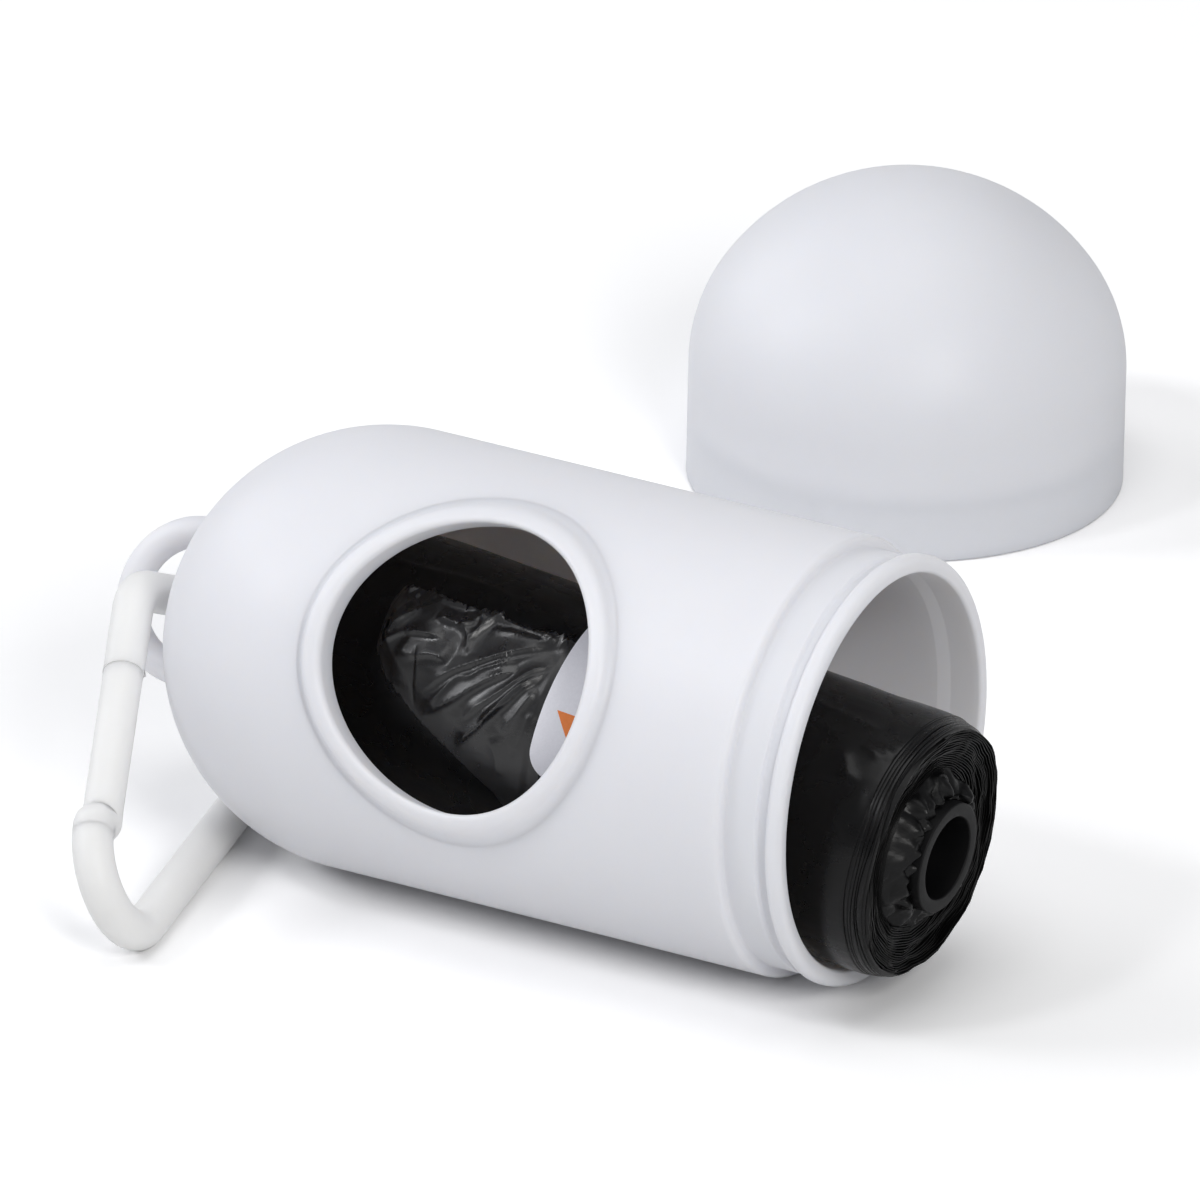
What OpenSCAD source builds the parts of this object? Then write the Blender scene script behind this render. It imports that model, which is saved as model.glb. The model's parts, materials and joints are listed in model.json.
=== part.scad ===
// Waste-bag dispenser, opened: a lying capsule housing with a round window,
// its cap standing mouth-down beside it, a snap clip in the housing's eyelet
// and a roll of bags that is pushed out of the mouth a little way.
// Millimetres, +Z up. The housing lies along X with its mouth towards +X.

/* [Housing] */
// Outer diameter of the barrel and of its domed end
body_d = 42; // [40:0.5:46]
// Length of the straight barrel, from the dome's centre to the shoulder
barrel_len = 46.6; // [42:0.2:60]
// Wall thickness of barrel and dome
wall = 2.4; // [1.8:0.1:2.8]
// Rounding of the shoulder's outer edge
shoulder_round = 0.9; // [0.5:0.1:1.2]

/* [Neck] */
// How far the neck steps in from the barrel's surface
neck_inset = 1.0; // [0.8:0.05:1.3]
// Length of the neck's smooth band, from the shoulder to the groove
band_len = 3.3; // [2.5:0.1:6]
// Width of the groove behind the snap bead
groove_w = 1.3; // [1:0.1:2]
// Depth of the groove below the band
groove_depth = 0.4; // [0.2:0.05:0.6]
// Height of the snap bead over the band
bead_h = 0.5; // [0.3:0.05:0.7]
// Radius of the snap bead's round section
bead_r = 0.8; // [0.6:0.05:1]
// Depth of the wider bore just inside the mouth
mouth_step_len = 3.2; // [2:0.1:5]
// How much wider that bore is, on the radius
mouth_step = 0.25; // [0.1:0.05:0.35]

/* [Window] */
// Diameter of the round hand-out window
window_d = 27.2; // [22:0.2:30]
// Distance of the window's centre from the dome's centre
window_x = 17.35; // [15.5:0.1:26]
// Turn of the window above the horizontal, as the housing lies
window_turn = 28; // [10:1:40]
// Width of the raised rim around the window
rim_w = 2.4; // [1.6:0.1:3]
// Height of the rim above the barrel
rim_h = 1.0; // [0.6:0.1:1.4]

/* [Eyelet] */
// Centreline diameter of the eyelet ring on the dome's apex
eyelet_d = 13.2; // [12.6:0.2:16]
// Thickness of the eyelet's round wire
eyelet_wire = 3.0; // [2:0.1:3.4]
// How deep the ring's centre lies below the dome's apex
eyelet_sink = 0.3; // [0:0.1:0.6]

/* [Clip] */
// Diameter of the clip's round rod
rod_d = 3.9; // [3.4:0.1:4.1]
// Centreline radius of the clip's narrow bow
narrow_r = 5.9; // [5:0.1:7]
// How far the clip leans back as it stands on the table, 90 being upright
clip_lean = 67; // [64:1:72]
// Distance between the centres of the two ends
clip_span = 30.2; // [28:0.2:36]
// Slope of the gate side against the spine
gate_slope = 27; // [24:1:29]
// Slope of the bar that hangs in the eyelet, against the spine
bar_slope = 28; // [26:1:32]
// Radius of the bend between the gate side and the bar
bend_r = 5.0; // [4:0.2:6]
// Sideways step between the bow and the gate
gate_jog = 1.15; // [0.8:0.05:1.4]
// Length of the gate, from its hinge to the seam
gate_len = 18.0; // [15:0.5:19]
// Length of the tongue that laps the gate over the nose
tongue_len = 2.6; // [2:0.1:2.8]
// Thickness of the tongue
tongue_t = 0.9; // [0.7:0.1:1]
// Heading of the clip's spine on the table, from +Y towards -X
clip_heading = 12; // [6:1:16]

/* [Cap] */
// Outer diameter of the cap
cap_d = 42.4; // [40.8:0.2:47]
// Height of the cap
cap_h = 30.6; // [28:0.2:36]
// Height of the cap's straight side
cap_side_h = 11.6; // [9:0.2:14]
// Radius of the arc between the side and the crown
cap_corner_r = 16.5; // [13:0.5:18]
// Wall thickness of the cap
cap_wall = 1.9; // [1.4:0.1:2.3]
// Where the cap stands, along the housing, from the dome's centre
cap_x = 0.1; // [-15:0.1:15]
// Where the cap stands, behind the housing's axis
cap_y = 102.5; // [60:0.5:120]

/* [Bag roll] */
// Outer diameter of the wound film
roll_d = 25.6; // [22:0.2:27]
// Length of the wound film
film_len = 71.2; // [60:0.2:76]
// Width of the staggered outer turns at each end of the roll
stagger_len = 1.8; // [1:0.1:2.5]
// Radial thickness of those turns together
stagger_t = 0.5; // [0.3:0.1:0.8]
// How many turns are staggered
stagger_turns = 5; // [3:1:6]
// Depth of the dished inner turns
dish_depth = 1.2; // [0.6:0.1:2]
// How many turns step down into the dish
dish_turns = 6; // [3:1:8]
// Outer diameter of the core tube
core_d = 10.7; // [9:0.1:13]
// Bore of the core tube
core_bore = 8.1; // [6:0.1:9]
// How far the core stands out of the film at each end
core_proud = 1.7; // [0.5:0.1:3]
// Sideways lean of the roll's resting line in the bore
roll_lean = 18; // [0:1:30]

/* [Loose bag and label] */
// Length of the loose bag end along the roll
loose_len = 23; // [16:1:24]
// Arc that the loose bag end covers round the roll
loose_arc = 88; // [60:2:110]
// Mean thickness of the loose film's folds
loose_t = 0.6; // [0.4:0.1:0.9]
// Width of the paper label along the roll
label_w = 20; // [14:1:24]
// Arc that the label covers round the roll
label_arc = 80; // [60:2:110]
// Radius of the label's corners
label_corner = 2.5; // [1:0.5:4]
// Thickness of the label
label_t = 0.2; // [0.1:0.05:0.3]

/* [Clearances] */
// Radial clearance of the film on its core
core_fit = 0.06; // [0.03:0.01:0.09]
// Gap between the roll and the bore that it lies in
roll_gap = 0.35; // [0.3:0.05:0.6]
// Radial clearance of the cap over the neck
cap_fit = 0.2; // [0.1:0.05:0.3]
// Clearance of the gate's round root in its socket
gate_fit = 0.1; // [0.08:0.01:0.12]
// Gap between the hanging clip and the eyelet's outer edge
hang_gap = 0.3; // [0.2:0.05:0.45]
// Gap at the seam between the gate and the nose
seam_gap = 0.2; // [0.18:0.01:0.3]
// Gap under the loose bag end and the label
film_gap = 0.1; // [0.05:0.05:0.2]

/* [Hidden] */
$fn = 96;
hair = 0.01;

// Housing, in its own frame: X is the axis and the dome's centre is the origin.
body_r = body_d / 2;
bore_r = body_r - wall;
neck_r = body_r - neck_inset;
neck_len = band_len + groove_w + 2 * bead_r;
mouth_x = barrel_len + neck_len;
mouth_bore_r = bore_r + mouth_step;
bead_x = mouth_x - bead_r;
bead_top_r = neck_r + bead_h;
groove_r = neck_r - groove_depth;
window_r = window_d / 2;

// Eyelet: a ring in the plane that faces the window.
eyelet_r = eyelet_d / 2;
eyelet_wire_r = eyelet_wire / 2;
eyelet_x = -(body_r - eyelet_sink);
eyelet_hole_end = eyelet_x - eyelet_r + eyelet_wire_r;

// Cap: the side, a corner arc and a crown arc that meet tangentially.
cap_r = cap_d / 2;
crown_z = (pow(cap_h - cap_corner_r, 2) - pow(cap_r - cap_corner_r, 2)
           - pow(cap_side_h, 2)) / (2 * (cap_h - cap_corner_r - cap_side_h));
crown_r = cap_h - crown_z;
crown_half_angle = atan2(cap_r - cap_corner_r, cap_side_h - crown_z);
cap_lip_r = neck_r + cap_fit;
cap_groove_r = bead_top_r + cap_fit / 2;
cap_groove_z = bead_x - barrel_len;
cap_groove_round = bead_r + cap_fit / 2;
cap_bore_r = cap_r - cap_wall;
cap_seat_z = neck_len + cap_fit;

// Clip, flat in its own plane: U runs along the spine, V points to the gate.
rod_r = rod_d / 2;
joint_gap = 0.05;
joint_swell = 0.04;
knuckle_r = rod_r + 0.05;
hang_x = eyelet_hole_end + rod_r + hang_gap;
spine_end = clip_span;

// The wide end is as deep as it takes to reach from the eyelet down to the table.
hang_step = 4.0;
hang_v = (body_r - rod_r) / sin(clip_lean);
wide_r = (hang_v - hang_step * sin(bar_slope)) / (1 + cos(bar_slope));
bar_end = [spine_end + wide_r * sin(bar_slope), wide_r * (1 + cos(bar_slope))];
bar_dir = [cos(bar_slope), -sin(bar_slope)];
gate_dir = [cos(gate_slope), sin(gate_slope)];
gate_in = [sin(gate_slope), -cos(gate_slope)];
bow_end = [-narrow_r * sin(gate_slope), narrow_r * (1 + cos(gate_slope))];
stub_len = 2.0;
hinge_uv = bow_end + stub_len * gate_dir + gate_jog * gate_in;
seam_uv = hinge_uv + gate_len * gate_dir;
corner_uv = crossing(hinge_uv, gate_dir, bar_end, bar_dir);
turn = gate_slope + bar_slope;
bend_cut = bend_r * tan(turn / 2);
bend_start = corner_uv - bend_cut * gate_dir;
bend_centre = bend_start + bend_r * gate_in;
bar_start = corner_uv + bend_cut * bar_dir;
hang_uv = bar_end - hang_step * bar_dir;

// The clip lies on its spine and its bar hangs in the eyelet.
clip_u = [-sin(clip_heading), cos(clip_heading), 0];
clip_v = [-cos(clip_heading) * cos(clip_lean), -sin(clip_heading) * cos(clip_lean),
          sin(clip_lean)];
clip_n = cross(clip_u, clip_v);
hang_point = [hang_x, 0, body_r];
clip_origin = hang_point - hang_uv[0] * clip_u - hang_uv[1] * clip_v;

// Roll: its rear edge rides on the dome's inside and its front lies in the mouth.
roll_r = roll_d / 2;
front_offset = bore_r - roll_r - roll_gap;
front_x = mouth_x - mouth_step_len;
front_y = -front_offset * sin(roll_lean);
front_z = -front_offset * cos(roll_lean);
level_seat = sqrt(pow(bore_r - roll_gap, 2) - pow(roll_r, 2));
roll_pitch = asin(front_offset / (front_x + level_seat));
rear_x = -(sqrt(pow(bore_r - roll_gap, 2) - pow(roll_r * cos(roll_pitch), 2))
           - roll_r * sin(roll_pitch));
roll_run = [front_x - rear_x, front_y, front_z];
roll_dir = roll_run / norm(roll_run);
roll_yaw_angle = atan2(roll_dir[1], roll_dir[0]);
roll_pitch_angle = asin(-roll_dir[2]);
core_r = core_d / 2;
core_len = film_len + 2 * core_proud;
film_bore_r = core_r + core_fit;

// Loose end and label: where they start along the roll, and how far their upper
// edges lie from the top of the roll. The label begins where the loose film ends.
loose_start = 11.6;
loose_top_angle = 24;
label_start = loose_start + loose_len + 0.3;
label_top_angle = 5;

// The whole part stands on the bottom centre of its box.
bow_centre = clip_origin + narrow_r * clip_v;
bend_point = clip_origin + bend_centre[0] * clip_u + bend_centre[1] * clip_v;
clip_low_x = bend_point[0] - bend_r * norm([clip_u[0], clip_v[0]]) - rod_r;
eyelet_low_x = eyelet_x - eyelet_r - eyelet_wire_r;
roll_face = [rear_x, 0, 0] + (film_len + core_proud) * roll_dir;
box_low_x = min(clip_low_x, eyelet_low_x, cap_x - cap_r);
box_high_x = max(roll_face[0] + core_r * norm([roll_dir[1], roll_dir[2]]), mouth_x, cap_x + cap_r);
box_low_y = bow_centre[1] - narrow_r * norm([clip_u[1], clip_v[1]]) - rod_r;
box_high_y = cap_y + cap_r;
box_shift = [-(box_low_x + box_high_x) / 2, -(box_low_y + box_high_y) / 2, 0];

echo(box_shift = box_shift, hang_point = hang_point + box_shift,
     roll_dir = roll_dir, clip_n = clip_n, clip_u = clip_u, clip_v = clip_v);

// Where the line through p along a crosses the line through q along b.
function crossing(p, a, q, b) =
    let (t = ((q[0] - p[0]) * b[1] - (q[1] - p[1]) * b[0]) / (a[0] * b[1] - a[1] * b[0]))
    p + t * a;

// ---- frames ----

module in_place() {
    translate(box_shift) children();
}

// The housing's axis along +X, at the height at which it lies.
module on_housing_axis() {
    in_place() translate([0, 0, body_r]) children();
}

// A profile drawn as [radius, length] turned about the housing's axis.
module turned() {
    rotate([0, 90, 0]) rotate_extrude() children();
}

// Z points out through the window, X still runs along the housing.
module facing_window() {
    rotate([90 - window_turn, 0, 0]) children();
}

// X and Y become the clip's U and V.
module in_clip_plane() {
    in_place() translate(clip_origin)
        multmatrix([[clip_u[0], clip_v[0], clip_n[0], 0],
                    [clip_u[1], clip_v[1], clip_n[1], 0],
                    [clip_u[2], clip_v[2], clip_n[2], 0],
                    [0, 0, 0, 1]]) children();
}

// Z runs along the roll from its rear end, and X points up.
module on_roll_axis() {
    on_housing_axis() translate([rear_x, 0, 0])
        rotate([0, roll_pitch_angle, roll_yaw_angle]) rotate([0, 90, 0]) rotate([0, 0, 180]) children();
}

// ---- housing ----

module shell_outline() {
    intersection() {
        circle(r = body_r);
        translate([0, -body_r]) square([body_r, body_r]);
    }
    square([body_r - shoulder_round, barrel_len]);
    square([body_r, barrel_len - shoulder_round]);
    translate([body_r - shoulder_round, barrel_len - shoulder_round]) circle(r = shoulder_round);
    square([neck_r, barrel_len + band_len]);
    square([groove_r, mouth_x - bead_r]);
    translate([bead_top_r - bead_r, bead_x]) circle(r = bead_r);
    square([bead_top_r - bead_r, mouth_x]);
}

module bore_outline() {
    intersection() {
        circle(r = bore_r);
        translate([0, -bore_r]) square([bore_r, bore_r]);
    }
    square([bore_r, mouth_x + 1]);
    translate([0, mouth_x - mouth_step_len]) square([mouth_bore_r, mouth_step_len + 1]);
}

module eyelet_ring() {
    translate([eyelet_x, 0, 0]) facing_window()
        rotate_extrude() translate([eyelet_r, 0]) circle(r = eyelet_wire_r, $fn = 48);
}

// A round bead that is swept round the window and follows the barrel's curve.
// Its root is sunk into the wall, and the window trims its inner side.
rim_steps = 60;
rim_sides = 10;
rim_root = 0.8;
rim_trim = 0.2;

// A point of the bead: a is the turn round the window, b the turn round the bead.
function rim_point(a, b) =
    let (out = window_r - rim_trim + (rim_w + rim_trim) / 2 * (1 + cos(b)),
         v = out * sin(a),
         lift = (b <= 180 ? rim_h : rim_root) * sin(b),
         swell = 1 + lift / body_r)
    [window_x + out * cos(a), v * swell, sqrt(pow(body_r, 2) - pow(v, 2)) * swell];

function rim_points() = [for (i = [0:rim_steps - 1], j = [0:rim_sides - 1])
    rim_point(i * 360 / rim_steps, (j + 0.5) * 360 / rim_sides)];

// The four corners of every cell of a closed loop of closed sections.
function loop_faces(n, m) = [for (i = [0:n - 1], j = [0:m - 1], k = [0:1])
    let (a = i * m + j, b = i * m + (j + 1) % m,
         c = ((i + 1) % n) * m + j, d = ((i + 1) % n) * m + (j + 1) % m)
    k == 0 ? [a, b, c] : [b, d, c]];

module window_rim() {
    polyhedron(points = rim_points(), faces = loop_faces(rim_steps, rim_sides));
}

module shell() {
    color("whitesmoke") on_housing_axis() difference() {
        union() {
            turned() shell_outline();
            eyelet_ring();
            facing_window() window_rim();
        }
        turned() bore_outline();
        facing_window() translate([window_x, 0, 0]) cylinder(r = window_r, h = body_r + 2 * rim_h);
    }
}

// ---- cap ----

// The dome's half outline, grown inwards by an offset t.
module cap_outline(t) {
    side_r = cap_r - t;
    corner_r = cap_corner_r - t;
    top_r = crown_r - t;
    tangent = [0, crown_z] + top_r * [sin(crown_half_angle), cos(crown_half_angle)];
    reach = cap_h + crown_r;
    intersection() {
        union() {
            polygon([[0, 0], [side_r, 0], [side_r, cap_side_h], tangent, [0, crown_z]]);
            translate([cap_r - cap_corner_r, cap_side_h]) circle(r = corner_r);
            intersection() {
                translate([0, crown_z]) circle(r = top_r);
                polygon([[0, crown_z],
                         [reach * sin(crown_half_angle), crown_z + reach * cos(crown_half_angle)],
                         [0, crown_z + reach]]);
            }
        }
        square([side_r, cap_h]);
    }
}

module cap() {
    color("whitesmoke") in_place() translate([cap_x, cap_y, 0]) difference() {
        rotate_extrude() cap_outline(0);
        rotate_extrude() cap_outline(cap_wall);
        translate([0, 0, -1]) cylinder(r = cap_lip_r, h = 1 + cap_seat_z);
        rotate_extrude() translate([cap_groove_r - cap_groove_round, cap_groove_z])
            circle(r = cap_groove_round, $fn = 48);
    }
}

// ---- clip ----

// A straight rod of length len from p along the direction dir, in the clip's plane.
module rod(p, dir, len) {
    translate([p[0], p[1], 0]) rotate([0, 90, atan2(dir[1], dir[0])]) cylinder(r = rod_r, h = len);
}

// A straight rod between two bends, joined to them by a ball at each end that it stops short in.
module link(p, q) {
    dir = (q - p) / norm(q - p);
    rod(p + joint_gap * dir, dir, norm(q - p) - 2 * joint_gap);
    for (end = [p, q]) joint_ball(end);
}

module joint_ball(p) {
    translate([p[0], p[1], 0]) sphere(r = rod_r + joint_swell);
}

// A bent rod about a centre, from one angle over a sweep.
module bent_rod(centre, radius, from, sweep) {
    translate([centre[0], centre[1], 0]) rotate([0, 0, from])
        rotate_extrude(angle = sweep) translate([radius, 0]) circle(r = rod_r, $fn = 48);
}

// X runs on along the gate from the seam and Y points out of the loop.
module at_seam() {
    translate([seam_uv[0], seam_uv[1], 0]) rotate([0, 0, gate_slope]) children();
}

// The slot on the nose's inner side that the gate's tongue lies in.
module lap_slot() {
    at_seam() translate([0, -rod_r - 1, -rod_r - 1])
        cube([tongue_len + seam_gap, 1 + tongue_t + seam_gap / 2, 2 * rod_r + 2]);
}

// What the gate leaves to the nose, beyond the seam.
module lap_step() {
    at_seam() translate([0, tongue_t - rod_r, -rod_r - 1])
        cube([tongue_len + 1, 2 * rod_r, 2 * rod_r + 2]);
}

// The round root that the gate turns on, grown by a clearance.
module knuckle(gap) {
    translate([hinge_uv[0], hinge_uv[1], -rod_r - 1]) cylinder(r = knuckle_r + gap, h = 2 * rod_r + 2);
}

module clip_frame() {
    nose_start = seam_uv + seam_gap * gate_dir;
    color("ivory") in_clip_plane() difference() {
        union() {
            link([0, 0], [spine_end, 0]);
            bent_rod([0, narrow_r], narrow_r, 90 + gate_slope, 180 - gate_slope);
            joint_ball(bow_end);
            rod(bow_end + joint_gap * gate_dir, gate_dir, stub_len);
            bent_rod([spine_end, wide_r], wide_r, -90, 180 - bar_slope);
            link(bar_start, bar_end);
            bent_rod(bend_centre, bend_r, 90 - bar_slope, turn);
            joint_ball(bend_start);
            rod(nose_start, gate_dir, norm(bend_start - nose_start) - joint_gap);
        }
        knuckle(gate_fit);
        lap_slot();
    }
}

module clip_gate() {
    length = gate_len + tongue_len;
    color("ivory") in_clip_plane() difference() {
        intersection() {
            rod(hinge_uv - rod_r * gate_dir, gate_dir, rod_r + length);
            union() {
                knuckle(0);
                translate([hinge_uv[0], hinge_uv[1], 0]) rotate([0, 0, gate_slope])
                    translate([0, -2 * rod_r, -2 * rod_r]) cube([length + 1, 4 * rod_r, 4 * rod_r]);
            }
        }
        lap_step();
    }
}

// ---- roll ----

module roll_core() {
    color("#3a3a3c") on_roll_axis() translate([0, 0, -core_proud]) difference() {
        cylinder(r = core_r, h = core_len);
        translate([0, 0, -1]) cylinder(r = core_bore / 2, h = core_len + 2);
    }
}

// One turn of a spiral that winds inwards by one pitch.
turn_points = 36;
function spiral_turn(r, pitch) = [for (i = [0:turn_points - 1])
    let (a = i * 360 / turn_points) (r - pitch * i / turn_points) * [cos(a), sin(a)]];

// Outside the given turn: what the staggered turns leave free at the end.
module outside_turn(r, pitch) {
    difference() {
        circle(r = roll_r + 1);
        polygon(spiral_turn(r, pitch));
    }
}

stagger_pitch = stagger_t / stagger_turns;
stagger_step = stagger_len / stagger_turns;
dish_outer_r = roll_r - stagger_t - 0.4;
dish_pitch = (dish_outer_r - core_r - 1) / dish_turns;
dish_step = dish_depth / dish_turns;

// The end of the winding: outer turns stand back, inner turns sink to the core.
module end_turns() {
    for (i = [0:stagger_turns - 1])
        translate([0, 0, -stagger_len + i * stagger_step])
            linear_extrude(stagger_len) outside_turn(roll_r - i * stagger_pitch, stagger_pitch);
    for (i = [0:dish_turns - 1])
        translate([0, 0, -(i + 1) * dish_step])
            linear_extrude(dish_depth + 1) polygon(spiral_turn(dish_outer_r - i * dish_pitch, dish_pitch));
}

module bag_roll() {
    color("#141416") on_roll_axis() difference() {
        cylinder(r = roll_r, h = film_len);
        translate([0, 0, -1]) cylinder(r = film_bore_r, h = film_len + 2);
        translate([0, 0, film_len]) end_turns();
        mirror([0, 0, 1]) end_turns();
    }
}

// The loose end of the outer bag: a patch with folds that gather at the label.
loose_steps = 18;
loose_rows = 20;
function fold(u, w) = 0.5 + 0.5 * sin(360 * (1.6 * w + 1.1 * u + 0.9 * u * w) + 60)
    * (0.35 + 0.65 * u);
function loose_height(u, w) =
    let (edge = min(1, 6 * u, 6 * w, 6 * (1 - w)))
    loose_t * (0.25 + edge * 1.1 * fold(u, w));
function loose_point(u, w, lift) =
    let (a = loose_top_angle + loose_arc * w, r = roll_r + film_gap + lift)
    [r * cos(a), r * sin(a), loose_start + loose_len * u];
function loose_grid(top) = [for (i = [0:loose_steps], j = [0:loose_rows])
    let (u = i / loose_steps, w = j / loose_rows)
    loose_point(u, w, top ? loose_height(u, w) : 0)];

// Faces of a sheet between a lower and an upper grid of the same size.
function sheet_faces(n, m) =
    let (row = m + 1, top = (n + 1) * row)
    concat(
        [for (i = [0:n - 1], j = [0:m - 1], k = [0:1])
            let (a = i * row + j, b = a + 1, c = a + row, d = c + 1)
            k == 0 ? [a, b, c] : [b, d, c]],
        [for (i = [0:n - 1], j = [0:m - 1], k = [0:1])
            let (a = top + i * row + j, b = a + 1, c = a + row, d = c + 1)
            k == 0 ? [a, c, b] : [b, c, d]],
        [for (j = [0:m - 1], k = [0:1])
            let (a = j, b = j + 1, c = top + j, d = top + j + 1)
            k == 0 ? [a, c, b] : [b, c, d]],
        [for (j = [0:m - 1], k = [0:1])
            let (s = n * row, a = s + j, b = s + j + 1, c = top + s + j, d = c + 1)
            k == 0 ? [a, b, c] : [b, d, c]],
        [for (i = [0:n - 1], k = [0:1])
            let (a = i * row, b = a + row, c = top + a, d = top + b)
            k == 0 ? [a, b, c] : [b, d, c]],
        [for (i = [0:n - 1], k = [0:1])
            let (a = i * row + m, b = a + row, c = top + a, d = top + b)
            k == 0 ? [a, c, b] : [b, c, d]]);

module leading_bag() {
    color("#202022") on_roll_axis()
        polyhedron(points = concat(loose_grid(false), loose_grid(true)),
                   faces = sheet_faces(loose_steps, loose_rows));
}

// A rounded rectangle of width w and height h about the origin.
module rounded_label(w, h, r) {
    square([w - 2 * r, h], center = true);
    square([w, h - 2 * r], center = true);
    for (x = [-1, 1], y = [-1, 1])
        translate([x * (w / 2 - r), y * (h / 2 - r)]) circle(r = r, $fn = 32);
}

module roll_label() {
    label_r = roll_r + film_gap;
    label_h = 2 * label_r * sin(label_arc / 2);
    color("white") on_roll_axis() intersection() {
        difference() {
            cylinder(r = label_r + label_t, h = film_len);
            translate([0, 0, -1]) cylinder(r = label_r, h = film_len + 2);
        }
        rotate([0, 0, label_top_angle + label_arc / 2])
            translate([0, 0, label_start + label_w / 2]) rotate([90, 0, 90])
                linear_extrude(label_r + 2) rounded_label(label_h, label_w, label_corner);
    }
}

shell();
cap();
clip_frame();
clip_gate();
roll_core();
bag_roll();
leading_bag();
roll_label();
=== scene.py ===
"""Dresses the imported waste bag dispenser: housing, cap, snap clip and bag roll, in its frame."""

import json
import logging
import math
from dataclasses import dataclass
from enum import Enum
from functools import cached_property
from typing import Any, Sequence

import bmesh
import bpy
import numpy as np
from bpy.types import ID, Material, Node, NodeSocket, NodeTree, Object
from mathutils import Matrix, Vector


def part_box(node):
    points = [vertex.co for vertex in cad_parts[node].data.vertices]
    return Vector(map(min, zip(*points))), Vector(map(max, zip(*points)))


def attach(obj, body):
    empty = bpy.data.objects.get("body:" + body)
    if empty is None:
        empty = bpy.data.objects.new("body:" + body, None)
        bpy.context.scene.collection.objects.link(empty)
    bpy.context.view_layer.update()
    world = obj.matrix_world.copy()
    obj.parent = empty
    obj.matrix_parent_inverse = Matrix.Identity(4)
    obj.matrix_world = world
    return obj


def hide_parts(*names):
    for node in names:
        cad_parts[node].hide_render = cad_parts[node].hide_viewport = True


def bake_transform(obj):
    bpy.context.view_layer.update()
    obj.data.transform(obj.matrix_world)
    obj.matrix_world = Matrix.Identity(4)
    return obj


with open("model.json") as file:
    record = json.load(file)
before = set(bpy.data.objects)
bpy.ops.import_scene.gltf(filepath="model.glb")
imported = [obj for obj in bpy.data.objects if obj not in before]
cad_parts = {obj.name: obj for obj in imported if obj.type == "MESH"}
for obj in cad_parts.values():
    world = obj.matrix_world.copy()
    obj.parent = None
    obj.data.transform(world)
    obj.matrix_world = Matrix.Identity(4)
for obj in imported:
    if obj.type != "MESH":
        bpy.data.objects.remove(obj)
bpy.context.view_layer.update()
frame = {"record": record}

LOG = logging.getLogger("dispenser")
# sizes are in millimetres and angles in degrees, unless a comment or docstring says otherwise
MM = 0.001
# metres within which points count as doubled, and edges as stray
DOUBLED = 1e-6
STRAY = 1e-7

Faces = list[tuple[int, ...]]


class Body(str, Enum):
    """The bodies that the pieces ride on."""

    HOUSING = "housing"
    CAP = "cap"
    CLIP = "clip"
    GATE = "gate"
    CORE = "core"
    FILM = "film"


class Slot(str, Enum):
    """The record's material slots."""

    HOUSING = "housing_plastic"
    CLIP = "clip_plastic"
    CORE = "core_tube"
    FILM = "bag_film"
    LABEL = "label_paper"


# ---- colours, nodes and objects ----


def linear(hex_code: str) -> tuple[float, float, float, float]:
    """Turns an sRGB colour such as #E4E5EA into linear RGBA, by the sRGB standard's curve.

    Args:
        hex_code: the colour, with or without its leading hash.

    Returns:
        Red, green, blue and alpha, with alpha 1.
    """
    text = hex_code.lstrip("#")
    channels = [int(text[i:i + 2], 16) / 255 for i in (0, 2, 4)]
    red, green, blue = [
        c / 12.92 if c <= 0.04045 else ((c + 0.055) / 1.055) ** 2.4 for c in channels
    ]
    return red, green, blue, 1.0


def add_node(
    tree: NodeTree,
    kind: str,
    inputs: dict[str | int, Any] | None = None,
    **settings: Any,
) -> Node:
    """Adds a node with its settings, values and links.

    Args:
        tree: the material's, world's or modifier's tree.
        kind: the node's type name.
        inputs: socket name or index to a value, to an output socket, or to a node that feeds
            it from its first output.
        settings: attributes to set on the node.

    Returns:
        The new node.
    """
    node = tree.nodes.new(kind)
    for key, value in settings.items():
        setattr(node, key, value)
    for key, value in (inputs or {}).items():
        source = value.outputs[0] if isinstance(value, Node) else value
        if isinstance(source, NodeSocket):
            tree.links.new(source, node.inputs[key])
        else:
            node.inputs[key].default_value = source
    return node


def start_material(name: str) -> tuple[Material, NodeTree]:
    """Makes an empty node material.

    Args:
        name: the material's name.

    Returns:
        The material and its tree.
    """
    material = bpy.data.materials.new(name)
    material.use_nodes = True
    material.node_tree.nodes.clear()
    return material, material.node_tree


def start_shape(name: str, inputs: dict[str, str]) -> tuple[NodeTree, dict[str, str], Any]:
    """Starts a Geometry Nodes tree with named inputs.

    Args:
        name: the tree's name.
        inputs: each input's name, and the kind of its socket.

    Returns:
        The tree, the identifier of each input, and the outputs that hand them on.
    """
    tree = bpy.data.node_groups.new(name, "GeometryNodeTree")
    sockets = {}
    for title, kind in inputs.items():
        socket = tree.interface.new_socket(title, in_out="INPUT", socket_type=f"NodeSocket{kind}")
        sockets[title] = socket.identifier
    tree.interface.new_socket("Shape", in_out="OUTPUT", socket_type="NodeSocketGeometry")
    return tree, sockets, add_node(tree, "NodeGroupInput").outputs


def end_shape(tree: NodeTree, shape: Node, finish: NodeSocket) -> None:
    """Ends a shape's tree: makes instances real and gives the finish.

    Args:
        tree: the tree.
        shape: the node that makes the shape.
        finish: the output that hands on the material.
    """
    real = add_node(tree, "GeometryNodeRealizeInstances", {"Geometry": shape})
    dressed = add_node(tree, "GeometryNodeSetMaterial", {"Geometry": real, "Material": finish})
    add_node(tree, "NodeGroupOutput", {"Shape": dressed})


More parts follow.
